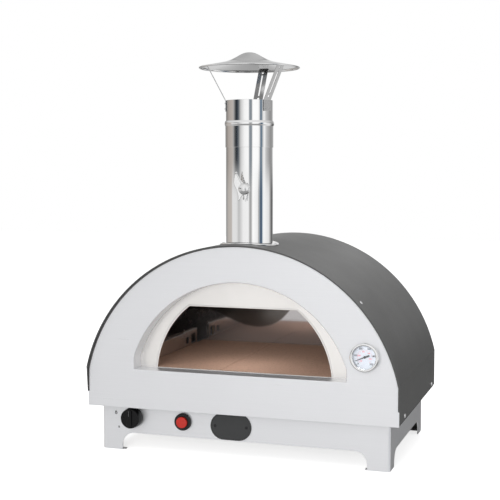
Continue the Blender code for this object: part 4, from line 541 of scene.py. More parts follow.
def soften(item, width, limit=35.0, segments=2):
    """Round the hard edges of a piece."""
    modifier = item.modifiers.new("edge_round", "BEVEL")
    modifier.width = width
    modifier.segments = segments
    modifier.limit_method = "ANGLE"
    modifier.angle_limit = radians(limit)
    modifier.harden_normals = True
    modifier.use_clamp_overlap = True
    item.modifiers.move(len(item.modifiers) - 1, 0)


def add_piece(item, material, replaces=(), sharp=30.0, body="oven"):
    """Dress a finished mesh or object, put it in the frame and let it ride on its body."""
    if isinstance(item, bpy.types.Mesh):
        item = raw_object(item.name, item)
    item.data.transform(Matrix.Translation((0, FRONT_Y, 0)))
    for polygon in item.data.polygons:
        polygon.use_smooth = True
    item.data.set_sharp_from_angle(angle=radians(sharp))
    item.modifiers.new("face_weights", "WEIGHTED_NORMAL").keep_sharp = True
    item.data.materials.clear()
    item.data.materials.append(finish(material))
    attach(item, body)
    if replaces:
        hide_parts(*replaces)
    return item


# Effects that several finishes share

class Wiring:
    """Adds nodes to one tree; a value is a number, a tuple or the socket that feeds it."""

    def __init__(self, tree):
        self.tree = tree

    def node(self, kind, inputs=None, **settings):
        item = self.tree.nodes.new("ShaderNode" + kind)
        for key, value in settings.items():
            setattr(item, key, value)
        for key, value in (inputs or {}).items():
            if isinstance(value, bpy.types.NodeSocket):
                self.tree.links.new(value, item.inputs[key])
            else:
                item.inputs[key].default_value = value
        return item

    def place(self, kind="Object"):
        return self.node("TexCoord").outputs[kind]

    def math(self, operation, *values, clamp=False):
        return self.node("Math", dict(enumerate(values)), operation=operation, use_clamp=clamp).outputs[0]

    def noise(self, place, scale, detail, roughness=0.5, distortion=0.0):
        return self.node("TexNoise", {"Vector": place, "Scale": scale, "Detail": detail, "Roughness": roughness,
                                      "Distortion": distortion}).outputs["Fac"]

    def fade(self, value, low, high):
        """A mask that rises from 0 at the low value to 1 at the high one."""
        return self.node("MapRange", {"Value": value, "From Min": low, "From Max": high}).outputs[0]

    def mix(self, factor, first, second):
        return self.node("Mix", {"Factor": factor, 6: first, 7: second}, data_type="RGBA").outputs[2]

    def scaled(self, colour, factor):
        return self.node("VectorMath", {0: colour, "Scale": factor}, operation="SCALE").outputs[0]


# How far each effect changes the roughness
LINE_GLOSS, PATCH_GLOSS, REFLECTION_GLOSS = 0.25, 0.2, 0.12


def brushing(wires, given):
    """Fine straight scratches that run along x, with slow changes of tone from sheet to sheet."""
    place = wires.place()
    stretched = wires.node("VectorMath", {0: place, 1: given["Line Scale"]}, operation="MULTIPLY").outputs[0]
    lines = wires.noise(stretched, 1.0, 3.0, 0.6)
    line_tone = wires.math("ADD", lines, -0.5)
    cloud_tone = wires.math("ADD", wires.noise(place, given["Cloud Scale"], 2.0), -0.5)
    line_part = wires.math("MULTIPLY", line_tone, given["Contrast"])
    both = wires.math("MULTIPLY_ADD", cloud_tone, given["Cloud Contrast"], line_part)
    rough = wires.math("MULTIPLY_ADD", line_tone, LINE_GLOSS, given["Roughness"], clamp=True)
    return wires.scaled(given["Colour"], wires.math("ADD", both, 1.0)), rough, lines


def handling(wires, given):
    """Faint wipe marks and dust on smooth surfaces."""
    wipes = wires.noise(wires.place(), given["Scale"], 4.0, 0.62, 0.8)
    amount = wires.math("MULTIPLY", wires.fade(wipes, 0.35, 0.75), given["Amount"])
    rough = wires.math("ADD", amount, given["Roughness"], clamp=True)
    return wires.scaled(given["Colour"], wires.math("SUBTRACT", 1.0, amount)), rough, wipes


def grit(wires, given):
    """Grains of two sizes: the orange peel of a powder coat, cast skin or the grog of fire brick."""
    place = wires.place()
    fine = wires.noise(place, given["Scale"], 3.0, 0.6)
    grains = wires.node("TexVoronoi", {"Vector": place, "Scale": given["Scale"]}, feature="F1").outputs["Distance"]
    patch_tone = wires.math("ADD", wires.noise(place, given["Patch Scale"], 4.0, 0.6), -0.5)
    speck = wires.math("MULTIPLY", wires.fade(fine, 0.52, 0.68), given["Grain Share"])
    grained = wires.mix(speck, given["Colour"], given["Grain Colour"])
    factor = wires.math("MULTIPLY_ADD", patch_tone, given["Patch Contrast"], 1.0)
    rough = wires.math("MULTIPLY_ADD", patch_tone, PATCH_GLOSS, given["Roughness"], clamp=True)
    return wires.scaled(grained, factor), rough, wires.math("ADD", fine, grains)


def stain(wires, given):
    """A painted dark reflection on a polished wall: a dark band with a round lower edge, laid by place in the front
    view; it stands in for the dark things the wall mirrors.
    """
    place = wires.place()
    parts = wires.node("SeparateXYZ", {0: place}).outputs
    wave = wires.noise(place, 9.0, 3.0)
    aside = wires.math("SUBTRACT", parts["X"], given["Middle"])
    bend = wires.math("MULTIPLY_ADD", aside, given["Lean"], given["Bend"])
    edge = wires.math("MULTIPLY_ADD", wires.math("MULTIPLY", aside, aside), bend, given["Foot"])
    waved = wires.math("MULTIPLY_ADD", wave, 0.012, wires.math("SUBTRACT", parts["Z"], edge))
    mask = wires.fade(waved, 0.0, given["Softness"])
    rough = wires.math("MULTIPLY_ADD", mask, REFLECTION_GLOSS, given["Roughness"])
    return wires.mix(mask, given["Colour"], given["Stain Colour"]), rough, wave


EFFECTS = {
    "brushed_lines": (brushing, {
        "Colour": (0.7, 0.7, 0.7, 1), "Roughness": 0.3, "Line Scale": (6.0, 900.0, 900.0), "Contrast": 0.1,
        "Cloud Scale": 3.0, "Cloud Contrast": 0.08}),
    "handling_marks": (handling, {"Colour": (0.8, 0.8, 0.8, 1), "Roughness": 0.1, "Scale": 14.0, "Amount": 0.08}),
    "grit": (grit, {
        "Colour": (0.5, 0.5, 0.5, 1), "Grain Colour": (0.3, 0.3, 0.3, 1), "Scale": 500.0, "Grain Share": 0.4,
        "Patch Scale": 8.0, "Patch Contrast": 0.1, "Roughness": 0.6}),
    # Painted dark reflection for the polished rear wall: a dark band mixed into its colour, not a stain
    "heat_stain": (stain, {
        "Colour": (0.6, 0.6, 0.6, 1), "Stain Colour": (0.04, 0.04, 0.04, 1), "Roughness": 0.06, "Middle": -0.09,
        "Foot": 0.232, "Bend": 5.2, "Lean": 22.0, "Softness": 0.006}),
}
RESULTS = {"Colour": "NodeSocketColor", "Roughness": "NodeSocketFloat", "Height": "NodeSocketFloat"}


def effect_group(name):
    """The shader node group of an effect, with its values as named inputs."""
    if name in bpy.data.node_groups:
        return bpy.data.node_groups[name]
    build, values = EFFECTS[name]
    tree = bpy.data.node_groups.new(name, "ShaderNodeTree")
    for label, value in values.items():
        size = len(value) if isinstance(value, tuple) else 1
        kind = {1: "NodeSocketFloat", 3: "NodeSocketVector", 4: "NodeSocketColor"}[size]
        tree.interface.new_socket(label, in_out="INPUT", socket_type=kind).default_value = value
    for label, kind in RESULTS.items():
        tree.interface.new_socket(label, in_out="OUTPUT", socket_type=kind)
    given, result = tree.nodes.new("NodeGroupInput").outputs, tree.nodes.new("NodeGroupOutput").inputs
    for label, socket in zip(RESULTS, build(Wiring(tree), given)):
        tree.links.new(socket, result[label])
    return tree


# Each finish: effect, colour, tint, the effect's next values (a grain or painted reflection colour is a tint), bump,
# bump size and what the shader itself is told
FINISHES = {
    "brushed_steel": ("brushed_lines", "steel", 1.0, ("steel_roughness", (5.0, 700.0, 700.0), 0.07, 2.6, 0.10),
                      0.10, 0.0001, {"Metallic": 0.75}),
    "strap_steel": ("brushed_lines", "polished", 0.72, (0.13, (400.0, 400.0, 8.0), 0.16, 40.0, 0.20), 0.05, 0.0001,
                    {"Metallic": 1.0}),
    "polished_steel": ("handling_marks", "polished", 1.0, ("polish_roughness", 9.0, 0.05), 0.02, 0.0004,
                       {"Metallic": 1.0}),
    "mouth_steel": ("handling_marks", "mouth", 1.0, (0.20, 6.0, 0.05), 0.02, 0.0003, {"Metallic": 0.7}),
    "chamber_steel": ("handling_marks", "chamber", 1.0, (0.14, 11.0, 0.25), 0.05, 0.0004, {"Metallic": 0.88}),
    "chamber_polish": ("handling_marks", "chamber", 2.1, (0.09, 20.0, 0.12), 0.03, 0.0003, {"Metallic": 0.85}),
    "turned_brass": ("handling_marks", "brass", 1.0, (0.28, 60.0, 0.15), 0.04, 0.0002, {"Metallic": 1.0}),
    "blackened_screw": ("handling_marks", (0.06, 0.06, 0.062), 1.0, (0.3, 300.0, 0.1), 0.05, 0.0001,
                        {"Metallic": 1.0}),
    "dial_glass": ("handling_marks", (0.98, 0.99, 1.0), 1.0, (0.0, 90.0, 0.03), 0.0, 0.0,
                   {"Transmission Weight": 1.0, "IOR": 1.45}),
    # The rear wall's dark band is painted reflection: it stands in for the dark things the polished wall mirrors
    "wall_mirror": ("heat_stain", "chamber", (1.55, 1.62, 1.72), (0.42,), 0.05, 0.0010, {"Metallic": 0.85}),
    "baked_paint": ("grit", "paint", 1.0, (1.5, 900.0, 0.35, 5.0, 0.10, "paint_roughness"), 0.25, 0.00015, {}),
    "stone_tile": ("grit", "stone", 1.0, (0.55, 190.0, 0.55, 9.0, 0.30, 0.85), 0.6, 0.0005, {}),
    # A dark coat that paints the shade inside the base, on the skirt's inner faces and the floor pan
    "dark_primer": ("grit", "paint", 0.35, (0.5, 700.0, 0.3, 12.0, 0.3, 0.7), 0.2, 0.0002, {}),
    "glazed_ceramic": ("grit", "ceramic", 1.0, (0.9, 1500.0, 0.3, 60.0, 0.1, 0.3), 0.05, 0.0001, {}),
    "wool_felt": ("grit", "wool", 1.0, (0.7, 700.0, 0.5, 30.0, 0.3, 0.95), 0.8, 0.001, {}),
    "gloss_plastic": ("grit", "black", 1.0, (1.4, 1800.0, 0.3, 90.0, 0.2, 0.08), 0.03, 0.0001,
                      {"Specular IOR Level": 0.18}),
    "matt_plastic": ("grit", "black", 1.0, (1.4, 2500.0, 0.4, 90.0, 0.2, 0.45), 0.1, 0.0001, {}),
    "cable_sheath": ("grit", "black", 1.0, (1.6, 2500.0, 0.4, 120.0, 0.2, 0.6), 0.1, 0.0001, {}),
    "button_plastic": ("grit", "red", 1.0, (0.9, 2000.0, 0.3, 120.0, 0.15, 0.38), 0.05, 0.0001, {}),
    "badge_coat": ("grit", "badge", 1.0, (1.5, 1600.0, 0.5, 40.0, 0.2, 0.42), 0.15, 0.0001, {"Metallic": 0.3}),
    "cast_chrome": ("grit", "polished", 0.95, (0.8, 420.0, 0.3, 130.0, 0.25, 0.16), 0.35, 0.0004,
                    {"Metallic": 1.0}),
}
PRINTS = {"etched_mark": "ink", "dial_black": "ink", "needle_ink": "ink", "dial_red": "dial_red",
          "dial_paper": "dial", "pointer_ink": (0.10, 0.10, 0.105)}
PRINT_VALUES = (0.94, 3000.0, 0.3, 50.0, 0.05, 0.5)
FINISHES.update({name: ("grit", tone, 1.0, PRINT_VALUES, 0.0, 0.0, {}) for name, tone in PRINTS.items()})


def tinted(colour, tint):
    """A colour times one tint, or times one for each channel."""
    return tuple(c * t for c, t in zip(colour, tint if isinstance(tint, tuple) else (tint, tint, tint)))


def finish(name):
    """A Principled material whose colour, roughness and bump come from one shared effect."""
    if name in bpy.data.materials:
        return bpy.data.materials[name]
    kind, colour, tint, values, bump, bump_size, shader_values = FINISHES[name]
    looks = bpy.context.scene.oven_finishes
    base = getattr(looks, colour) if isinstance(colour, str) else colour
    material = bpy.data.materials.new(name)
    material.diffuse_color = (*tinted(base, tint), 1.0)
    material.use_nodes = True
    wires = Wiring(material.node_tree)
    surface = wires.node("Group", node_tree=effect_group(kind))
    surface.inputs["Colour"].default_value = material.diffuse_color
    for label, value in zip(list(EFFECTS[kind][1])[1:], values):
        value = getattr(looks, value) if isinstance(value, str) else value
        surface.inputs[label].default_value = (*tinted(base, value), 1.0) if "Colour" in label else value
    shader = material.node_tree.nodes["Principled BSDF"]
    for label, value in shader_values.items():
        shader.inputs[label].default_value = value
    feeds = {"Base Color": surface.outputs["Colour"], "Roughness": surface.outputs["Roughness"]}
    if bump > 0:
        feeds["Normal"] = wires.node("Bump", {"Strength": bump, "Distance": bump_size,
                                              "Height": surface.outputs["Height"]}).outputs["Normal"]
    for label, socket in feeds.items():
        material.node_tree.links.new(socket, shader.inputs[label])
    return material


# Pieces of the body

def panel_piece(body):
    """Front sheet with its ears and the folded return round the opening."""
    radius = hypot(body.panel_half, body.panel_kink - body.arch_centre)
    ear_half, bottom = PANEL_HIGH.x, PANEL_LOW.z
    ear_top = bottom + body.ear_height
    arch = arch_outline(body.panel_half, ear_top, radius, body.arch_centre, body.arc_steps)
    outline = [(ear_half, bottom), (ear_half, ear_top), *arch, (-ear_half, ear_top), (-ear_half, bottom)]
    fold, sheet, edge, depth = body.fold, body.sheet, body.edge, PANEL_HIGH.y - PANEL_LOW.y
    section = quarter_round((fold, 0), (0, fold), 5)
    section += quarter_round((0, depth - edge), (edge, depth), 5, True)[1:4]
    section += quarter_round((sheet - edge, depth), (sheet, depth - edge), 5)[2:]
    rings = [(opening_outline(body, offset), y) for offset, y in [*section, (sheet, PANEL_THICKNESS)]]
    return plate("panel_sheet", edge_rings(outline, 0.0, PANEL_THICKNESS, edge), rings)


def shell_piece(body):
    """Painted arched cover with its overhanging front lip and the folded flange behind the panel."""
    sheet, edge, rear = body.sheet, body.edge, SHELL_HIGH.y - FRONT_Y
    notch = PANEL_LOW.z + body.ear_height + GAP
    flange_y = PANEL_THICKNESS + GAP
    notch_step = 0.00002

    def lip_y(z):
        """Where the lip ends: level with the flange beside the ears, then slanting out to its full depth."""
        if z < notch:
            return flange_y
        if z < body.shell_kink:
            return -body.lip_foot - (body.lip - body.lip_foot) * (z - notch) / (body.shell_kink - notch)
        return -body.lip

    def ring(follows_lip, shift, depth):
        points = arch_outline(SHELL_HIGH.x - depth, SHELL_LOW.z, shell_radius(body) - depth, body.arch_centre,
                              body.arc_steps)
        half = SHELL_HIGH.x - depth
        sides = [(half, notch - notch_step), (half, notch)]
        points = [points[0], *sides, *points[1:-1], *[(-x, z) for x, z in reversed(sides)], points[-1]]
        return [(x, lip_y(z) + shift if follows_lip else shift, z) for x, z in points]

    half_sheet, seat, brim = sheet / 2, flange_y + GAP, sheet + body.flange
    lip = quarter_round((half_sheet, 0), (0, half_sheet), 3)
    lip += quarter_round((0, half_sheet), (half_sheet, sheet), 3, True)[1:]
    rest = [(seat, sheet), (seat, brim), (seat + sheet, brim), (seat + sheet, sheet)]
    rest += quarter_round((rear - edge, sheet), (rear, sheet - edge), 3)
    rest += quarter_round((rear, edge), (rear - edge, 0), 3, True)
    return loft("shell_sheet", [ring(True, *place) for place in lip] + [ring(False, *place) for place in rest])


def cover_piece(body):
    """Rear cover of the shell, with its edge folded forwards."""
    front, rear = depths("rear_panel")
    sheet, edge, fold = body.sheet, body.edge, 0.0022
    base, floor, bottom = sheet + GAP, front + sheet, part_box("rear_panel")[0].z

    def outline(depth):
        return arch_outline(SHELL_HIGH.x - base - depth, bottom + depth, shell_radius(body) - base - depth,
                            body.arch_centre, body.arc_steps)

    section = quarter_round((sheet + fold, floor), (sheet, floor + fold), 4)
    section += quarter_round((sheet, rear - edge), (sheet - edge, rear), 4, True)
    section += quarter_round((edge, rear), (0, rear - edge), 4)
    section += quarter_round((0, front + fold), (fold, front), 4, True)
    return plate("rear_cover", [(outline(depth), y) for depth, y in section])


def mouth_piece(body):
    """Inner front wall with the rolled hem round the mouth."""
    front, rear, hem, soft = MOUTH_FACE_Y, MOUTH_HIGH.y - FRONT_Y, body.hem, 0.0011
    outline = arch_outline(MOUTH_HIGH.x, MOUTH_LOW.z, MOUTH_HIGH.z - body.arch_centre, body.arch_centre,
                           body.arc_steps)
    rise = front - (MOUTH_LOW.y - FRONT_Y)
    section = [(hem + soft, front), (hem + soft * 0.4, front - rise * 0.2)]
    section += [(hem - soft * s, front - rise * (0.4 + 0.6 * s)) for s, _ in quarter(4)]
    section += quarter_round((soft, front - rise), (0, front - rise + soft), 4)
    rings = [(mouth_outline(body, offset), y) for offset, y in [*section, (0.0, rear)]]
    return plate("mouth_wall", edge_rings(outline, front, rear, body.edge), rings)


def corners_round(half, front, rear):
    """Corners of a plan that is even about x = 0, from the front right one round."""
    return [(half, front), (half, rear), (-half, rear), (-half, front)]


def skirt_columns(body, front, rear):
    """Columns (outer foot, inner foot, height, leg's edge, spring) all round the skirt, arched between its legs."""
    sheet, radius, arch_r = body.base_sheet, body.base_round, body.leg_round
    corners = corners_round(BASE_HIGH.x, front, rear)
    columns = []
    for index, start in enumerate(corners):
        leg, arch_h = (body.leg_width, body.leg_height) if index % 2 else (body.leg_side, body.side_arch)
        a, b = Vector(start), Vector(corners[(index + 1) % 4])
        run, along = (b - a).length, (b - a).normalized()
        inward = Vector((-along.y, along.x))
        rising = quarter_round((leg, arch_h - arch_r), (leg + arch_r, arch_h), 10, True)
        falling = [(run - leg - (s - leg), z) for s, z in reversed(rising)]
        places = [(radius, 0.0, False), (leg, 0.0, "up"), *[(s, z, False) for s, z in (rising + falling)[1:-1]],
                  (run - leg, 0.0, "down"), (run - radius, 0.0, False)]
        for s, z, jump in places:
            point = a + along * s
            columns.append((point, point + inward * sheet, z, jump, arch_h - arch_r))
        centre = b - along * radius + inward * radius
        for s, c in quarter(6)[1:-1]:
            direction = -inward * c + along * s
            columns.append((centre + direction * radius, centre + direction * (radius - sheet), 0.0, False, 0.0))
    return columns


def base_piece(body):
    """Folded skirt on four legs, with the flanges at its top and under its feet."""
    half, sheet, top = BASE_HIGH.x, body.base_sheet, BASE_HIGH.z
    front, rear = depths("base_frame")
    bm = bmesh.new()
    made = []
    for outer, inner, foot, jump, spring in skirt_columns(body, front, rear):
        levels = [0.0, spring, top] if jump else [foot, top]
        made.append([[bm.verts.new((p.x, p.y, z)) for z in levels] for p in (outer, inner)] + [jump])
    for here, ahead in zip(made, made[1:] + made[:1]):
        left_from, right_from = int(here[2] == "up"), int(ahead[2] == "down")
        for side in (0, 1):
            bm.faces.new(here[side][left_from:][::-1] + ahead[side][right_from:])
        bm.faces.new((here[0][left_from], here[1][left_from], ahead[1][right_from], ahead[0][right_from]))
        bm.faces.new((here[0][-1], here[1][-1], ahead[1][-1], ahead[0][-1]))
        if here[2]:
            bm.faces.new((here[0][0], here[0][1], here[1][1], here[1][0]))
    rim, rim_round, tab, tab_spare, tab_round = 0.018, 0.003, 0.014, 0.005, 0.002
    plan = fillet(corners_round(half - sheet, front + sheet, rear - sheet), body.base_round - sheet, 6)
    well = fillet(corners_round(half - rim, front + rim, rear - rim), rim_round, 4)
    flanges = [soft_plate("top_flange", plan, -top, sheet - top, SOFT_EDGE, [well])]
    for sign in (-1, 1):
        for wall, inwards in ((front, 1), (rear, -1)):
            xs = sorted((sign * (half - sheet), sign * (half - body.leg_width - tab_spare)))
            ys = sorted((wall + inwards * sheet * 0.9, wall + inwards * tab))
            flanges.append(soft_plate("foot", fillet(rectangle(xs, ys), tab_round, 3), -sheet, 0.0, body.edge))
    skirt = closed_mesh(bm, "skirt")
    return together("base_skirt", skirt, *[turned(flange, -pi / 2, "X") for flange in flanges])


class OVEN_OT_shell(bpy.types.Operator):
    """Build the painted shell and its rear cover."""
    bl_idname = "oven.shell"
    bl_label = "Shell and rear cover"

    def execute(self, context):
        body = context.scene.oven_body
        add_piece(shell_piece(body), "baked_paint", ["vault_shell"], 9.0)
        add_piece(cover_piece(body), "baked_paint", ["rear_panel"], 9.0)
        return {"FINISHED"}


class OVEN_OT_front(bpy.types.Operator):
    """Build the brushed front panel and the inner front wall with the mouth."""
    bl_idname = "oven.front"
    bl_label = "Front panel and mouth"

    def execute(self, context):
        body = context.scene.oven_body
        add_piece(panel_piece(body), "brushed_steel", ["front_panel"], 28.0)
        add_piece(mouth_piece(body), "mouth_steel", ["mouth_plate"], 24.0)
        return {"FINISHED"}


FLAME = ((0.0, -0.5), (0.30, -0.38), (0.40, -0.10), (0.30, 0.16), (0.16, 0.30), (0.17, 0.08), (0.05, 0.22),
         (0.02, 0.52), (-0.14, 0.36), (-0.30, 0.12), (-0.40, -0.14), (-0.28, -0.38))
# Lowest and highest place of a mark over the sheet, and its rounding
MARK_FOOT, MARK_TOP, MARK_EDGE = 0.00002, 0.00012, 0.00002
# Flame marks beside the knob: x, z and size
FLAME_MARKS = {"flame_mark_full": (-0.2955, 0.084, 0.0075), "flame_mark_low": (-0.2885, 0.0515, 0.0045)}


class OVEN_OT_base(bpy.types.Operator):
    """Build the base skirt with its legs and the flame marks beside the knob."""
    bl_idname = "oven.base"
    bl_label = "Base"

    def execute(self, context):
        body = context.scene.oven_body
        skirt = add_piece(base_piece(body), "brushed_steel", ["base_frame"], 24.0)
        # The skirt's inner upright faces get a dark coat as painted shade inside the base
        skirt.data.materials.append(finish("dark_primer"))
        middle_y = (BASE_LOW.y + BASE_HIGH.y) / 2
        for polygon in skirt.data.polygons:
            centre, normal = polygon.center, polygon.normal
            upright = abs(normal.z) < 0.3 and max(abs(normal.x), abs(normal.y)) > 0.99
            inwards = normal.dot(Vector((centre.x, centre.y - middle_y, 0))) < 0
            near = min(BASE_HIGH.x - abs(centre.x), centre.y - BASE_LOW.y, BASE_HIGH.y - centre.y)
            polygon.material_index = int(upright and inwards and near > body.base_sheet * 0.5)
        soften(skirt, body.edge, 50.0)
        y = BASE_LOW.y - FRONT_Y
        for name, (x, z, size) in FLAME_MARKS.items():
            points = smooth_line([(x + u * size, z + w * size * 1.3) for u, w in FLAME], 5, closed=True)
            hollow = [(x + (u - x) * 0.45, z - size * 0.2 + (w - z) * 0.42) for u, w in points]
            mark = soft_plate(name, points, y - MARK_TOP, y - MARK_FOOT, MARK_EDGE, [hollow])
            add_piece(mark, "etched_mark")
        return {"FINISHED"}


# Pieces of the chamber

FLUE_HOLE = 0.0456
TILE_CORNER, TILE_EDGE = 0.002, 0.0016


class OVEN_OT_chamber(bpy.types.Operator):
    """Build the inner vault, the rear wall and the floor stones."""
    bl_idname = "oven.chamber"
    bl_label = "Chamber"

    def execute(self, context):
        body = context.scene.oven_body
        wall_front, wall_rear = depths("inner_rear_wall")
        rear = wall_front - GAP

        def segment(depth):
            radius = WALL_HIGH.z - body.arch_centre - depth
            start = asin((WALL_LOW.z - body.arch_centre) / radius)
            return arc(radius, body.arch_centre, start, pi - start, body.arc_steps)

        section = [(LINING_FRONT_Y, 0.0), (LINING_FRONT_Y, body.sheet), (rear, body.sheet), (rear, 0.0)]
        rings = [[(x, y, z) for x, z in segment(depth)] for y, depth in section]
        vault = raw_object("vault_lining", loft("vault_lining", rings))
        hole = lathe("hole", rectangle((0, FLUE_HOLE), (0.3, 0.5)), 96)
        cut(vault, moved(hole, (0, FLUE_Y, 0)))
        add_piece(vault, "chamber_steel", ["inner_vault"], 12.0)
        wall = soft_plate("rear_wall", segment(0.0), wall_front, wall_rear, SOFT_EDGE)
        add_piece(wall, "wall_mirror", ["inner_rear_wall"])
        for side in ("left", "right"):
            low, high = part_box("stone_" + side)
            outline = fillet(rectangle((low.x, high.x), (low.y, high.y)), TILE_CORNER, 4)
            outline = [(x, y - FRONT_Y) for x, y in outline]
            tile = soft_plate("floor_tile_" + side, outline, -high.z, -low.z, TILE_EDGE)
            add_piece(turned(tile, -pi / 2, "X"), "stone_tile", ["stone_" + side])
        return {"FINISHED"}


# Windows of the sensors' bracket: nearer end, farther end, foot and top
BRACKET_WINDOWS = ((0.006, 0.024, 0.0355, 0.0515), (0.040, 0.073, 0.0325, 0.0565))
WINDOW_ROUND = 0.003
# Sheet and bend of the guard and the bracket, the guard's foot and the bracket's top
STRIP_SHEET, STRIP_BEND, GUARD_FOOT, BRACKET_TOP = 0.0015, 0.0022, 0.012, 0.010
# Slots of the burner: half length, half width, and where the cut starts and ends over the pipe's middle
PORT_HALF, PORT_SLIT, PORT_FOOT, PORT_TOP = 0.006, 0.0009, 0.0105, 0.014


class OVEN_OT_burner(bpy.types.Operator):
    """Build the burner with its ports, its guard and the bracket of the sensors."""
    bl_idname = "oven.burner"
    bl_label = "Burner and guard"

    def execute(self, context):
        right, top, foot = GUARD_HIGH.x, GUARD_HIGH.z, GUARD_LOW.z
        line = [(GUARD_LOW.x, top), (right, top), (right, foot), (right - GUARD_FOOT, foot)]
        self.folded_strip("guard_strip", line, "burner_guard")
        right, top, foot = BRACKET_HIGH.x, BRACKET_HIGH.z, BRACKET_LOW.z
        front = BRACKET_LOW.y - FRONT_Y
        windows = []
        for near, far, low, high in BRACKET_WINDOWS:
            outline = rectangle((front + near, front + far), (foot + low, foot + high))
            windows.append(prism("window", fillet(outline, WINDOW_ROUND, 4), (right - 0.004, right + 0.002), "x"))
        line = [(right - BRACKET_TOP, top), (right, top), (right, foot), (BRACKET_LOW.x, foot)]
        self.folded_strip("sensor_bracket", line, "pilot_bracket", windows)
        radius, bend, end_gap, ports, first_port, last_port, drop_y = 0.0125, 0.020, 0.002, 24, 0.150, 0.016, 0.105
        x, z = (BURNER_LOW.x + BURNER_HIGH.x) / 2, BURNER_HIGH.z - radius
        rear = BURNER_HIGH.y - FRONT_Y
        path = fillet([(x, rear - end_gap, z), (x, drop_y, z), (x, drop_y, BURNER_LOW.z)], bend, 12, False)
        tube = raw_object("burner_pipe", rod("burner_pipe", path, radius, 40))
        places = [first_port + index * (rear - last_port - first_port) / ports for index in range(ports)]
        cut(tube, together("ports", *[box("port", (x - PORT_HALF, x + PORT_HALF), (y - PORT_SLIT, y + PORT_SLIT),
                                          (z + PORT_FOOT, z + PORT_TOP)) for y in places]))
        add_piece(tube, "chamber_steel", ["burner_tube"], 25.0)
        return {"FINISHED"}

    def folded_strip(self, name, line, node, windows=()):
        """A strip of sheet folded along a line, with its windows cut out."""
        line = fillet(line, STRIP_BEND, 5, False)
        item = raw_object(name, prism(name, strip_outline(line, STRIP_SHEET), depths(node)))
        cut(item, *windows)
        add_piece(item, "chamber_polish", [node], 25.0)
        soften(item, SOFT_EDGE, 50.0)


# Pieces of the flue

class OVEN_OT_flue(bpy.types.Operator):
    """Build the flue collar, the two pipes with their bead and the collar of the cap."""
    bl_idname = "oven.flue"
    bl_label = "Flue pipes"

    def execute(self, context):
        flue, body = context.scene.oven_flue, context.scene.oven_body
        steps, wall, rise, sleeve = flue.round_steps, flue.wall, flue.flange_rise, flue.sleeve
        radius, place = PIPE_HIGH.x, (0, FLUE_Y, 0)

        def dress(item, node, sharp=40.0):
            add_piece(item, "polished_steel", [node], sharp)

        flange = lathe("saddle", fillet(rectangle((sleeve - GAP, FLANGE_HIGH.x), (GAP, rise)), [0, 0.0004, 0.0010, 0],
                                        4), steps)
        for vert in flange.vertices:
            vert.co.z = on_shell(body, vert.co.x, vert.co.z)
        tube = self.pipe("sleeve", sleeve, (FLANGE_LOW.z, FLANGE_HIGH.z), flue)
        dress(moved(together("saddle_flange", flange, tube), place), "flue_collar")
        low, high = PIPE_LOW.z, PIPE_HIGH.z
        lower = raw_object("pipe_lower", moved(self.pipe("pipe_lower", radius, (low, high), flue), place))
        for vert in lower.data.vertices:
            if vert.co.z < (low + high) / 2:
                vert.co.z += on_shell(body, vert.co.x, rise + GAP) - low
        hole = lathe("hole", rectangle((0, flue.shaft_hole), (-0.1, 0.1)), 24)
        hole = turned(turned_to_y(hole), flue.damper_turn, "Z")
        cut(lower, moved(hole, (0, FLUE_Y, flue.damper_z)))
        dress(lower, "flue_pipe_lower")
        joint, top, socket = UPPER_LOW.z, UPPER_HIGH.z, radius + GAP
        skin = UPPER_HIGH.x - flue.bead_rise
        bead = [(skin + flue.bead_rise * sin(pi * i / 12), flue.bead_low + flue.bead_height * i / 12)
                for i in range(13)]
        profile = [(socket, joint), (skin - 0.0003, joint), (skin, joint + 0.0004), *bead, (skin, top - 0.0003),
                   (skin - 0.0004, top), (socket, top)]
        dress(moved(lathe("pipe_upper", profile, steps), place), "flue_pipe_upper", 50.0)
        inner, top, hem, hem_height = radius - wall, COLLAR_HIGH.z, 0.0008, 0.0024
        profile = [(inner, COLLAR_LOW.z), (radius, COLLAR_LOW.z), (radius, top), (inner - hem, top),
                   (inner - hem, top - hem_height), (inner, top - hem_height)]
        dress(moved(lathe("cap_pipe", fillet(profile, 0.00035, 4), steps), place), "cap_collar")
        return {"FINISHED"}

    def pipe(self, name, radius, heights, flue):
        """A plain pipe with rounded ends."""
        return lathe(name, fillet(rectangle((radius - flue.wall, radius), heights), SOFT_EDGE, 3), flue.round_steps)


# Shares of the cap's radius and height from the rim to the crown
CAP_SHARES = ((1.0, 0.0), (0.509, 0.329), (0.391, 0.462), (0.273, 0.658), (0.195, 0.812), (0.118, 0.934),
              (0.059, 0.984), (0.0, 1.0))
# Outline of the handle's wing, in radii of its hub
HANDLE_SHARES = (
    (-1.50, 2.75), (-1.28, 2.62), (-0.72, 1.72), (-0.12, 0.98), (0.62, 0.74), (0.98, 0.20), (0.95, -0.45),
    (0.55, -0.95), (0.40, -1.60), (0.22, -2.15), (0.02, -1.60), (-0.08, -1.12), (-0.30, -1.10), (-0.55, -1.45),
    (-0.85, -1.95), (-1.08, -1.88), (-1.05, -1.20), (-1.30, -0.20), (-1.72, 0.75), (-1.80, 1.55),
)
STRAP_TURNS = {"strap_left": 200.0, "strap_right": 335.0, "strap_rear": 88.0}


def cap_line(drop):
    """Upper face of the cap from rim to crown, lowered by a drop."""
    rim_z = CAP_LOW.z + 2 * bpy.context.scene.oven_flue.cap_roll
    height = CAP_HIGH.z - rim_z
    points = [(u * CAP_HIGH.x, rim_z + w * height - drop) for u, w in CAP_SHARES]
    return [points[0], *smooth_line([*points[1:], (-points[-2][0], points[-2][1])], 6)[:-6]]


def brim_under(radius):
    (rim, rim_z), (brim, brim_z) = cap_line(bpy.context.scene.oven_flue.cap_sheet)[:2]
    return rim_z + (brim_z - rim_z) * (rim - radius) / (rim - brim)


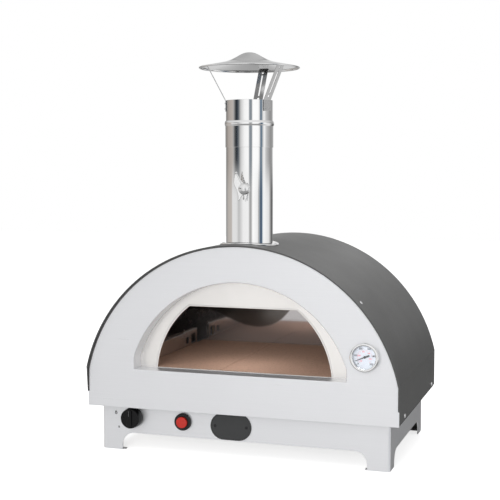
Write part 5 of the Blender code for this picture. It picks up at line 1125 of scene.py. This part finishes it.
class OVEN_OT_cap(bpy.types.Operator):
    """Build the spun rain cap and the three straps that carry it."""
    bl_idname = "oven.cap"
    bl_label = "Rain cap and straps"

    def execute(self, context):
        flue = context.scene.oven_flue
        roll, radius = flue.cap_roll, CAP_HIGH.x
        rim_z = CAP_LOW.z + 2 * roll
        upper, under = cap_line(0)[1:], cap_line(flue.cap_sheet)[1:]
        upper[-1], under[-1] = (0.0, upper[-1][1]), (0.0, under[-1][1])
        rim = [(radius - roll + roll * cos(a), rim_z - roll + roll * sin(a))
               for a in [pi * (1 / 2 - i / 10) for i in range(16)]]
        rim.append((radius - 2 * roll, brim_under(radius - 2 * roll)))
        cap = lathe("rain_hat", [*reversed(upper), *rim, *under], flue.round_steps)
        add_piece(moved(cap, (0, FLUE_Y, 0)), "polished_steel", ["rain_cap"], 35.0)
        self.straps(flue)
        return {"FINISHED"}

    def straps(self, flue):
        """Fold a slotted flat blank along the strap's line."""
        inner, top, seat = PIPE_HIGH.x + GAP, COLLAR_HIGH.z, 2 * GAP
        foot, half = flue.strap_foot, flue.strap_width / 2
        head_inset, tab, bend, corner, slot_inset, slot_width = 0.0195, 0.012, 0.002, 0.0025, 0.030, 0.0032
        head_radius = CAP_HIGH.x - head_inset
        tab_end = head_radius + tab
        corners = [(inner, top - foot), (inner, top), (head_radius, brim_under(head_radius) - seat),
                   (tab_end, brim_under(tab_end) - seat)]
        line = [Vector(p) for p in fillet(corners, bend, 6, False)]
        runs = [0.0]
        for before, after in zip(line, line[1:]):
            runs.append(runs[-1] + (after - before).length)
        arm = (Vector(corners[2]) - Vector(corners[1])).length
        blank = fillet(rectangle((0.0, runs[-1]), (-half, half)), corner, 4)
        hole, hole_inset = 0.0026, 0.0085
        holes = [stadium(arm - slot_inset, slot_width, foot + arm / 2, 0.0), circle(hole, foot + hole_inset, 0.0),
                 circle(hole, foot + arm - hole_inset, 0.0)]
        rivet_side, rivet = 0.006, [(0, 0), (0.0017, 0), (0.0014, 0.0007), (0.0007, 0.0011), (0, 0.0012)]
        normals = right_normals(line)
        for name, degrees in STRAP_TURNS.items():
            mesh = soft_plate(name, blank, 0.0, flue.strap_sheet, SOFT_EDGE, holes)
            bm = bmesh.new()
            bm.from_mesh(mesh)
            for run in runs[1:-1]:
                bmesh.ops.bisect_plane(bm, geom=bm.verts[:] + bm.edges[:] + bm.faces[:], plane_co=(run, 0, 0),
                                       plane_no=(1, 0, 0))
            for vert in bm.verts:
                vert.co = self.folded(vert.co, line, runs, normals)
            bm.to_mesh(mesh)
            bm.free()
            parts = [mesh]
            for z in (top - foot + rivet_side, top - rivet_side):
                for across in (-rivet_side, rivet_side):
                    head = turned(lathe("rivet", rivet, 20), pi / 2, "Y")
                    parts.append(moved(head, (inner + flue.strap_sheet, across, z)))
            mesh = turned(together(name + "_sheet", *parts), radians(degrees), "Z")
            add_piece(moved(mesh, (0, FLUE_Y, 0)), "strap_steel", [name], 30.0)

    def folded(self, place, line, runs, normals):
        """Move a point of the flat blank, (run, depth, across), onto the folded line."""
        index = max(i for i in range(len(runs) - 1) if runs[i] <= place.x + 1e-9) if place.x > 0 else 0
        along = (line[index + 1] - line[index]).normalized()
        t = min(max((place.x - runs[index]) / (runs[index + 1] - runs[index]), 0), 1)
        normal = (normals[index] * (1 - t) + normals[index + 1] * t).normalized()
        point = line[index] + along * (place.x - runs[index]) + normal * place.y
        return Vector((point.x, place.z, point.y))


class OVEN_OT_damper(bpy.types.Operator):
    """Build the cast damper handle."""
    bl_idname = "oven.damper"
    bl_label = "Damper"

    def execute(self, context):
        flue = context.scene.oven_flue
        hub = flue.handle_radius
        rear = -PIPE_HIGH.x - flue.handle_reach
        face = rear - flue.handle_thickness
        outline = smooth_line([(u * hub, w * hub) for u, w in HANDLE_SHARES], 5, closed=True)[::-1]
        front_round, rear_round = 0.0011, 0.0004
        section = quarter_round((front_round, face), (0, face + 1.5 * front_round), 5)
        section += quarter_round((0, rear - rear_round), (rear_round, rear), 5, True)
        rings = inset_rings(outline, section)
        dome = quarter_round((0, face - flue.dome), (hub, face), 16)
        hub_mesh = turned_to_y(lathe("hub", [*dome, (hub, rear - GAP), (0, rear - GAP)], 64))
        rib_radius = 0.0015
        tip = Vector((HANDLE_SHARES[0][0] * hub + flue.ball / 2, face + rib_radius / 3, HANDLE_SHARES[0][1] * hub))
        rib = rod("rib", [(0, tip.y, 0), (tip.x * 0.5, tip.y, tip.z * 0.5), tuple(tip)], rib_radius, 16)
        bm = bmesh.new()
        bmesh.ops.create_uvsphere(bm, u_segments=32, v_segments=20, radius=flue.ball)
        ball = moved(closed_mesh(bm, "ball"), tuple(tip))
        handle = turned(together("damper_wing", plate("wing", rings), hub_mesh, rib, ball), flue.damper_turn, "Z")
        add_piece(moved(handle, (0, FLUE_Y, flue.damper_z)), "cast_chrome", ["damper_handle"], 50.0,
                  "damper")
        return {"FINISHED"}


# Controls

class OVEN_OT_knob(bpy.types.Operator):
    """Build the gas knob."""
    bl_idname = "oven.knob"
    bl_label = "Gas knob"

    def execute(self, context):
        sizes = context.scene.oven_controls
        x, _, z = middle("gas_knob")
        front, rear = depths("gas_knob")
        depth, skirt, radius, body = rear - front, sizes.knob_skirt, sizes.knob_radius, sizes.knob_body
        body_depth, bore, bore_depth = depth - 0.0045, 0.0043, 0.010
        profile = [(bore, 0), (radius, 0), (radius, -skirt), (body + 0.0006, -skirt - 0.0006),
                   (body - 0.0008, -body_depth), (0, -body_depth - 0.0008), (0, -bore_depth), (bore, -bore_depth)]
        rounding = [0, 0.0012, 0.0022, 0.0010, 0.0026, 0, 0, 0]
        round_part = turned_part("round_part", profile, rounding, 6, 96, 0, 0, rear)
        grip = stadium(sizes.grip_length, sizes.grip_width, 0, 0, 20)
        edge, taper = 0.0026, 0.0006
        rings = inset_rings(grip, quarter_round((taper + edge, front), (taper, front + edge), 6))
        rings += [(grip, rear - skirt - 0.0005), (inset(grip, 0.0004), rear - skirt + 0.001)]
        knob = together("knob_moulding", round_part, turned(plate("bar", rings), pi / 2, "Y"))
        add_piece(moved(knob, (x, 0, z)), "gloss_plastic", ["gas_knob"], 30.0, "knob")
        pointer = 0.012
        line = soft_plate("line", stadium(pointer, 0.0009, 0, 0, 8), front - 0.00002, front + 0.0004, 0.0001)
        line = moved(turned(line, pi / 2, "Y"), (x, 0, z + pointer))
        add_piece(line, "pointer_ink", body="knob")
        return {"FINISHED"}


class OVEN_OT_igniter(bpy.types.Operator):
    """Build the igniter's bezel and button."""
    bl_idname = "oven.igniter"
    bl_label = "Igniter"

    def execute(self, context):
        sizes = context.scene.oven_controls
        x, _, z = middle("igniter_bezel")
        front, rear = depths("igniter_bezel")
        seat = BASE_LOW.y - FRONT_Y - GAP
        cup, radius, floor = sizes.button_radius + 0.0004, sizes.bezel_radius, seat - 0.0012
        bore, thread = 0.0063, 0.0117
        profile = [(bore, floor), (cup, floor), (cup, front), (radius, front), (radius, seat), (thread, seat),
                   (thread, rear), (bore, rear)]
        rounding = [0, 0.0004, 0.0007, 0.0022, 0.0006, 0, 0.0005, 0]
        bezel = turned_part("igniter_ring", profile, rounding, 6, 96, x, z)
        add_piece(bezel, "matt_plastic", ["igniter_bezel"], 30.0)
        front, rear = depths("igniter_button")
        radius, back, crown, stem = sizes.button_radius, front + 0.0068, 0.0006, 0.006
        profile = [(0, front), (radius * 0.5, front + crown * 0.25), (radius, front + crown), (radius, back),
                   (stem, back), (stem, rear), (0, rear)]
        rounding = [0, 0.04, 0.0016, 0.0004, 0.0004, 0.0006, 0]
        button = turned_part("igniter_cap", profile, rounding, 6, 80, x, z)
        add_piece(button, "button_plastic", ["igniter_button"], 35.0, "button")
        return {"FINISHED"}


class OVEN_OT_badge(bpy.types.Operator):
    """Build the bare badge plate with its raised rim."""
    bl_idname = "oven.badge"
    bl_label = "Badge plate"

    def execute(self, context):
        sizes, size = context.scene.oven_controls, BADGE_HIGH - BADGE_LOW
        x, _, z = middle("badge_plate")
        front, rear = depths("badge_plate")
        outline = stadium(size.x, size.z, x, z, 40)
        rim, recess, edge = sizes.badge_rim, sizes.badge_recess, 0.0005
        section = [(rim + edge * 1.2, front + recess)]
        section += [(rim + edge * (1 - s), front + recess * (1 - s)) for s, _ in quarter(4)[1:]]
        section += quarter_round((edge, front), (0, front + edge), 4)
        blank = plate("badge_blank", [*inset_rings(outline, section), (outline, rear)])
        add_piece(blank, "badge_coat", ["badge_plate"], 20.0)
        return {"FINISHED"}


def screw_mesh(name, radius, height, shank_radius, shank_length):
    """Pan head with a cross recess, seated at height zero with its shank above."""
    dome = [(0, -height), (radius * 0.45, -height * 0.97), (radius * 0.8, -height * 0.72), (radius, -height * 0.25),
            (radius, 0), (shank_radius, 0), (shank_radius, shank_length), (0, shank_length)]
    item = raw_object(name, lathe(name, fillet(dome, [0, radius, radius * 0.6, radius * 0.2, 0, 0, 0, 0], 4), 40))
    arm, slim, depth = radius * 0.52, radius * 0.13, height * 0.55
    cross = [(arm, -slim), (arm, slim), (slim, slim), (slim, arm), (-slim, arm), (-slim, slim), (-arm, slim),
             (-arm, -slim), (-slim, -slim), (-slim, -arm), (slim, -arm), (slim, -slim)]
    cut(item, prism("cross", cross, (-height * 1.2, -height + depth), "z"))
    mesh = item.data
    bpy.data.objects.remove(item, do_unlink=True)
    mesh.name = name
    return mesh


# Screws: head radius, head height, shank radius and shank length
SIDE_BOLT = (0.0044, 0.0024, 0.0019, 0.0036)
FLANGE_BOLT = (0.0032, 0.0018, 0.0014, 0.0045)
BADGE_BOLT = (0.0030, 0.0012, 0.0014, 0.008)
HOOD_BOLT = (0.0046, 0.0024, 0.0019, GAP)
FLANGE_BOLT_INSET = 0.0044


class OVEN_OT_screws(bpy.types.Operator):
    """Build the screws of the shell, the flange and the badge."""
    bl_idname = "oven.screws"
    bl_label = "Screws"

    def execute(self, context):
        flue, body = context.scene.oven_flue, context.scene.oven_body
        radius = shell_radius(body)

        def fasten(mesh, place, nodes=(), material="polished_steel"):
            add_piece(moved(mesh, place), material, nodes, 35.0)

        def on_round(name, sizes, rise, lean):
            """A screw square to the shell's round, leaning from the top."""
            mesh = turned(screw_mesh(name, *sizes), pi, "X")
            return turned(moved(mesh, (0, 0, radius + rise)), lean, "Y")

        for side, sign in (("left", -1), ("right", 1)):
            for end in ("front", "rear"):
                node = "side_screw_" + side + "_" + end
                mesh = turned(screw_mesh("side_bolt_" + side + "_" + end, *SIDE_BOLT), -sign * pi / 2, "Y")
                fasten(mesh, (sign * (SHELL_HIGH.x + GAP), *middle(node)[1:]), [node])
            node = "flue_screw_" + side
            lean = asin((FLANGE_HIGH.x - FLANGE_BOLT_INSET) / radius)
            mesh = on_round("flange_bolt_" + side, FLANGE_BOLT, flue.flange_rise + GAP, sign * lean)
            fasten(mesh, (0, middle(node)[1], body.arch_centre), [node])
            node = "badge_screw_" + side
            x, _, z = middle(node)
            seat = BADGE_LOW.y - FRONT_Y + context.scene.oven_controls.badge_recess
            mesh = turned_to_y(screw_mesh("badge_bolt_" + side, *BADGE_BOLT))
            fasten(mesh, (x, seat, z), [node], "blackened_screw")
            mesh = on_round("hood_bolt_" + side, HOOD_BOLT, GAP, sign * flue.hood_screw_angle)
            fasten(mesh, (0, flue.hood_screw_depth, body.arch_centre))
        return {"FINISHED"}


DIAL_START, DIAL_SWEEP = 225.0, 270.0
# How far the dial's print stands out of its face, and how far it reaches in
PRINT_TOP, PRINT_FOOT = 0.00008, 0.00002


def dial_turn(share):
    """Angle of a place on the scale, counted from the right."""
    return radians(DIAL_START - DIAL_SWEEP * share)


class OVEN_OT_thermometer(bpy.types.Operator):
    """Build the thermometer: case, bezel, printed dial, glass and needle."""
    bl_idname = "oven.thermometer"
    bl_label = "Thermometer"

    def execute(self, context):
        sizes = context.scene.oven_controls
        x, _, z = middle("thermometer_case")
        front, rear, radius = CASE_LOW.y - FRONT_Y, -GAP, (CASE_HIGH.x - CASE_LOW.x) / 2
        floor, cavity, lip = rear - 0.0037, radius - 0.0048, front + 0.0027
        throat, side, neck, neck_length = cavity - 0.0015, radius - 0.0007, 0.0095, 0.012
        profile = [
            (0, floor), (cavity, floor), (cavity, lip), (throat, lip), (throat, front + 0.0012),
            (throat + 0.0016, front), (radius - 0.0018, front), (radius, front + 0.0026),
            (radius - 0.0004, front + 0.0052), (radius - 0.0016, front + 0.0058), (side, front + 0.0064), (side, rear),
            (neck, rear), (neck, rear + neck_length), (0, rear + neck_length),
        ]
        rounding = [0, 0, 0.0002, 0.0002, 0.0006, 0.0014, 0.0024, 0.0022, 0.0006, 0.0003, 0.0004, 0.0008, 0, 0.0004, 0]
        case = turned_part("gauge_case", profile, rounding, 6, 128, x, z)
        add_piece(case, "polished_steel", ["thermometer_case"], 35.0)
        disc, dial_rear, glass_front, glass_depth = cavity - GAP, floor - GAP, lip + GAP, 0.0015
        face = dial_rear - 0.0008
        dial = turned_part("gauge_dial", rectangle((0, disc), (face, dial_rear)), [0, 0.0002, 0, 0], 3, 128, x, z)
        add_piece(dial, "dial_paper", ["thermometer_dial"], 30.0)
        self.scales(sizes, x, z, face)
        glass = turned_part("gauge_glass", rectangle((0, disc), (glass_front, glass_front + glass_depth)),
                            [0, 0.0002, 0.0002, 0], 3, 128, x, z)
        glass = add_piece(glass, "dial_glass", ["thermometer_glass"], 30.0)
        glass.visible_shadow = False
        self.needle(sizes, x, z, face)
        return {"FINISHED"}

    def scales(self, sizes, x, z, face):
        """Ticks and plain numbers, laid on the dial as thin prints."""
        rim, depth = sizes.dial_radius, (face - PRINT_TOP, face + PRINT_FOOT)

        def ticks(count, outer, lengths, widths):
            """A mark at every step of a scale, each fifth one longer and wider."""
            marks = []
            for index in range(count + 1):
                inner, width = rim - lengths[index % 5 > 0], widths[index % 5 > 0]
                mark = prism("tick", rectangle((inner, rim - outer), (-width / 2, width / 2)), depth)
                marks.append(moved(turned(mark, -dial_turn(index / count), "Y"), (x, 0, z)))
            return marks

        def numbers(values, size, inset_by, steps):
            return [self.number(str(value), size, x + (rim - inset_by) * cos(dial_turn(index / steps)),
                                z + (rim - inset_by) * sin(dial_turn(index / steps)), *depth)
                    for index, value in enumerate(values)]

        outer_values = [int(sizes.dial_top / 5 * index) for index in range(6)]
        black = ticks(50, 0.0006, (0.0036, 0.0022), (0.0007, 0.00036)) + numbers(outer_values, 0.0052, 0.0062, 5)
        red = ticks(45, 0.0098, (0.0120, 0.0110), (0.0005, 0.0003))
        red += numbers(range(100, 1000, 200), 0.0034, 0.0142, 4.5)
        add_piece(together("dial_scale_black", *black), "dial_black")
        add_piece(together("dial_scale_red", *red), "dial_red")

    def number(self, text, size, x, z, front, rear):
        """A plain number as a thin mesh that faces the front."""
        curve = bpy.data.curves.new("number", "FONT")
        curve.body = text
        curve.size = size
        curve.align_x = "CENTER"
        curve.align_y = "CENTER"
        curve.resolution_u = 3
        curve.offset = size * 0.03
        curve.extrude = (rear - front) / 2
        item = raw_object("number", curve)
        mesh = evaluated_mesh(item)
        bpy.data.objects.remove(item, do_unlink=True)
        return moved(turned(mesh, pi / 2, "X"), (x, (front + rear) / 2, z))

    def needle(self, sizes, x, z, face):
        """Slim pointer with a heavy tail and a domed hub."""
        tip, hub_foot, half_blade = sizes.dial_radius - 0.0046, 0.0018, 0.0003
        level = face - GAP - hub_foot
        upper_side = [(0.0, 0.0013), (-0.0020, 0.0012), (-0.0034, 0.0018), (-0.0110, 0.0018)]
        blade = [(tip, -0.0007), (tip, 0.0007), *upper_side, *[(u, -w) for u, w in reversed(upper_side)]]
        blade = soft_plate("blade", blade, level - half_blade, level + half_blade, 0.0001)
        dome = ((0, -0.0018), (0.0012, -0.0017), (0.0022, -0.0012), (0.0027, -0.0004), (0.0027, hub_foot),
                (0, hub_foot))
        hub = turned_to_y(lathe("hub", [(u, level + w) for u, w in dome], 40))
        mesh = turned(together("gauge_needle", blade, hub), -sizes.needle_angle, "Y")
        add_piece(moved(mesh, (x, 0, z)), "needle_ink", ["thermometer_needle"], 30.0, "needle")


class OVEN_OT_fittings(bpy.types.Operator):
    """Dress the frame's own nodes that stay as they are: pan, deck, wool, valve, leads and fittings."""
    bl_idname = "oven.fittings"
    bl_label = "Inner fittings"

    def execute(self, context):
        dress = {
            # The floor pan gets the dark coat as painted shade under the oven
            "dark_primer": "floor_pan", "brushed_steel": "deck_plate thermometer_nut", "chamber_steel": "damper_flap",
            "wool_felt": "floor_board vault_blanket rear_blanket", "polished_steel": "thermometer_probe",
            "turned_brass": "gas_valve gas_injector gas_inlet feed_pipe supply_pipe valve_stem valve_plunger "
                            "thermocouple thermocouple_lead",
            "matt_plastic": "igniter_nut piezo_unit", "glazed_ceramic": "spark_electrode", "cable_sheath": "spark_lead",
        }
        for material, names in dress.items():
            for name in names.split():
                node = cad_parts[name]
                node.data.materials.clear()
                node.data.materials.append(finish(material))
        return {"FINISHED"}


# Stage

FLOOR_LIFT = 0.74
WHITE = (1, 1, 1, 1)


def floor_material():
    """Pale matt floor that shows as white to the camera and keeps the object's shadow."""
    material = bpy.data.materials.new("studio_floor")
    material.use_nodes = True
    wires = Wiring(material.node_tree)
    shader = material.node_tree.nodes["Principled BSDF"]
    for label, value in {"Base Color": (0.86, 0.86, 0.86, 1), "Roughness": 0.9, "Specular IOR Level": 0.0,
                         "Emission Color": WHITE}.items():
        shader.inputs[label].default_value = value
    rays = wires.node("LightPath").outputs
    seen = wires.math("ADD", rays["Is Camera Ray"], rays["Is Transmission Ray"], clamp=True)
    material.node_tree.links.new(wires.math("MULTIPLY", seen, FLOOR_LIFT), shader.inputs["Emission Strength"])
    return material


def studio_world(studio):
    """Even white room; polished steel also sees the room's darker upright panels."""
    world = bpy.data.worlds.new("studio_room")
    bpy.context.scene.world = world
    world.use_nodes = True
    world.node_tree.nodes.clear()
    wires = Wiring(world.node_tree)
    parts = wires.node("SeparateXYZ", {0: wires.place("Generated")}).outputs
    turn = wires.math("ARCTAN2", parts["X"], wires.math("MULTIPLY", parts["Y"], -1.0))
    turn = wires.fade(turn, -pi, pi)
    tones = room_ring(wires, turn, GROUND_PANELS)
    for low, high, panels in HIGHER_PANELS:
        tones = wires.mix(wires.fade(parts["Z"], low, high), tones, room_ring(wires, turn, panels))
    room, mirror, white = (wires.node("Background", {"Color": colour, "Strength": strength}).outputs[0] for
                           colour, strength in ((WHITE, studio.surround), (tones, studio.panels), (WHITE, 1.0)))
    rays = wires.node("LightPath").outputs
    glossy = wires.node("MixShader", {0: rays["Is Glossy Ray"], 1: room, 2: mirror}).outputs[0]
    clear = wires.math("MAXIMUM", rays["Is Camera Ray"], rays["Is Transmission Ray"])
    final = wires.node("MixShader", {0: clear, 1: glossy, 2: white}).outputs[0]
    wires.node("OutputWorld", {"Surface": final})


def room_ring(wires, turn, panels):
    """A ring of tones round the oven; panels are (degrees, colour or grey), and 0 looks out of the oven's front."""
    ramp = wires.node("ValToRGB", {0: turn})
    elements = ramp.color_ramp.elements
    for index, (degrees, tone) in enumerate(panels):
        place = (degrees + 180) / 360
        element = elements[index] if index < 1 else elements[-1] if index + 1 == len(panels) else elements.new(place)
        element.position = place
        element.color = (*tone, 1) if isinstance(tone, tuple) else (tone, tone, tone, 1)
    return ramp.outputs[0]


GROUND_PANELS = (
    (-180, 0.42), (-165, 0.40), (-150, 0.17), (-135, 0.17), (-115, 0.45), (-95, 0.50), (-75, 0.30), (75, 0.30),
    (95, 0.50), (120, 0.62), (150, 0.58), (165, 0.45), (180, 0.42),
)
LOW_PANELS = (
    (-180, 0.35), (-166, 0.60), (-158, 0.60), (-150, 0.20), (-137, 0.27), (-107, (0.46, 0.43, 0.40)),
    (-81, (0.50, 0.46, 0.43)), (-74, 0.74), (-50, 0.74), (-43, 0.66), (-37, 0.52), (-31, 0.56), (-20, 0.72),
    (-13, 0.85), (13, 0.87), (18, 0.46), (26, 0.33), (31, 0.80), (35, 0.98), (59, 0.83), (64, 0.38),
    (70, (0.26, 0.31, 0.37)), (74, (0.045, 0.075, 0.115)), (82, (0.09, 0.14, 0.21)), (88, (0.80, 0.84, 0.86)),
    (93, 0.93), (128, 0.76), (138, 0.46), (146, 0.27), (153, 0.13), (172, 0.13), (180, 0.35),
)
HIGH_PANELS = (
    (-180, 0.75), (-162, 0.85), (-150, 0.28), (-119, (0.26, 0.24, 0.22)), (-103, (0.40, 0.36, 0.33)),
    (-72, (0.47, 0.43, 0.40)), (-64, 0.35), (-58, 0.13), (-50, (0.024, 0.031, 0.038)), (-45, (0.024, 0.031, 0.038)),
    (-40, (0.07, 0.08, 0.10)), (-35, (0.14, 0.16, 0.17)), (-31, 0.31), (-25, 0.57), (-6, 0.90), (13, 0.95),
    (18, (0.28, 0.31, 0.34)), (28, (0.20, 0.23, 0.26)), (32, 0.80), (36, 1.0), (61, 0.97), (67, 0.75),
    (73, (0.13, 0.18, 0.24)), (80, (0.15, 0.21, 0.27)), (86, 0.62), (94, 0.90), (101, 0.69), (108, 0.52),
    (122, 0.39), (139, 0.27), (165, 0.34), (180, 0.75),
)
CEILING_PANELS = (
    (-180, 1.0), (-175, 1.0), (-170, 0.36), (-140, 0.34), (-110, 0.60), (-60, 0.85), (0, 0.90), (60, 0.90),
    (120, 0.60), (145, 0.38), (165, 0.38), (176, 0.80), (180, 1.0),
)
TOP_PANELS = ((-180, 0.50), (-150, 0.40), (-90, 0.60), (0, 0.80), (90, 0.70), (150, 0.45), (180, 0.50))
# Each ring takes over from the one below it between two heights, as the rise of a line of sight
HIGHER_PANELS = ((-0.45, -0.30, LOW_PANELS), (-0.024, 0.004, HIGH_PANELS), (0.12, 0.32, CEILING_PANELS),
                 (0.36, 0.46, TOP_PANELS))


class OVEN_OT_studio(bpy.types.Operator):
    """Build the floor, the lights, the room and the camera."""
    bl_idname = "oven.studio"
    bl_label = "Studio"

    def execute(self, context):
        scene, studio = context.scene, context.scene.oven_studio
        scene.view_settings.view_transform = "Standard"
        half = studio.floor_size / 2
        floor = raw_object("studio_floor", loft("studio_floor", [[(-half, y, 0), (half, y, 0)] for y in (-half, half)],
                                                False))
        floor.data.materials.append(floor_material())
        floor.visible_glossy = False
        studio_world(studio)
        lights = (
            ("key_light", (-1.1, -2.6, 2.3), (0.0, 0.0, 0.30), 2.4, studio.key_power),
            ("top_light", (-0.5, 0.4, 2.6), (0.0, 0.0, 0.3), 2.0, studio.top_power),
            ("front_light", (0.1, -2.9, 0.75), (0.0, 0.0, 0.22), 0.9, studio.front_power),
            ("chamber_light", (-0.10, 0.03, 0.42), (-0.10, 0.03, 0.19), 0.22, studio.fill_power),
            ("mouth_light", (-0.02, -0.10, 0.33), (0.0, -0.17, 0.19), 0.10, studio.fill_power * 0.7),
        )
        for name, place, target, size, power in lights:
            lamp = bpy.data.lights.new(name, "AREA")
            lamp.shape = "SQUARE"
            lamp.size = size
            lamp.energy = power
            item = raw_object(name, lamp)
            item.location = place
            item.rotation_euler = (Vector(target) - Vector(place)).to_track_quat("-Z", "Y").to_euler()
            item.visible_glossy = False
            item.visible_camera = False
        camera = bpy.data.cameras.new("camera")
        camera.sensor_width = 36.0
        camera.lens = studio.camera_lens
        camera.clip_start = 0.05
        scene.camera = raw_object("camera", camera)
        scene.camera.location = studio.camera_place
        scene.camera.rotation_euler = (pi / 2 - studio.camera_pitch, 0, studio.camera_yaw)
        return {"FINISHED"}


OPERATORS = (
    OVEN_OT_shell, OVEN_OT_front, OVEN_OT_base, OVEN_OT_chamber, OVEN_OT_burner, OVEN_OT_flue, OVEN_OT_cap,
    OVEN_OT_damper, OVEN_OT_knob, OVEN_OT_igniter, OVEN_OT_badge, OVEN_OT_screws, OVEN_OT_thermometer,
    OVEN_OT_fittings, OVEN_OT_studio,
)
GROUPS = {
    "oven_body": OvenBodySizes, "oven_flue": OvenFlueSizes, "oven_controls": OvenControlSizes,
    "oven_finishes": OvenFinishes, "oven_studio": OvenStudio,
}


class OVEN_PT_panel(bpy.types.Panel):
    """Lists the oven's pieces, sizes and colours."""
    bl_label = "Arched oven"
    bl_idname = "OVEN_PT_panel"
    bl_space_type = "VIEW_3D"
    bl_region_type = "UI"
    bl_category = "Oven"

    def draw(self, context):
        for operator in OPERATORS:
            self.layout.operator(operator.bl_idname)
        for name, group in GROUPS.items():
            column = self.layout.column(align=True)
            column.label(text=group.__doc__)
            for key in group.__annotations__:
                column.prop(getattr(context.scene, name), key)


def register():
    for item in (*GROUPS.values(), *OPERATORS, OVEN_PT_panel):
        bpy.utils.register_class(item)
    for name, group in GROUPS.items():
        setattr(bpy.types.Scene, name, PointerProperty(type=group))


def unregister():
    for name in GROUPS:
        delattr(bpy.types.Scene, name)
    for item in (OVEN_PT_panel, *reversed(OPERATORS), *GROUPS.values()):
        bpy.utils.unregister_class(item)


def main():
    """Build every piece in order."""
    register()
    for operator in OPERATORS:
        group, name = operator.bl_idname.split(".")
        getattr(getattr(bpy.ops, group), name)()


if __name__ == "__main__":
    main()
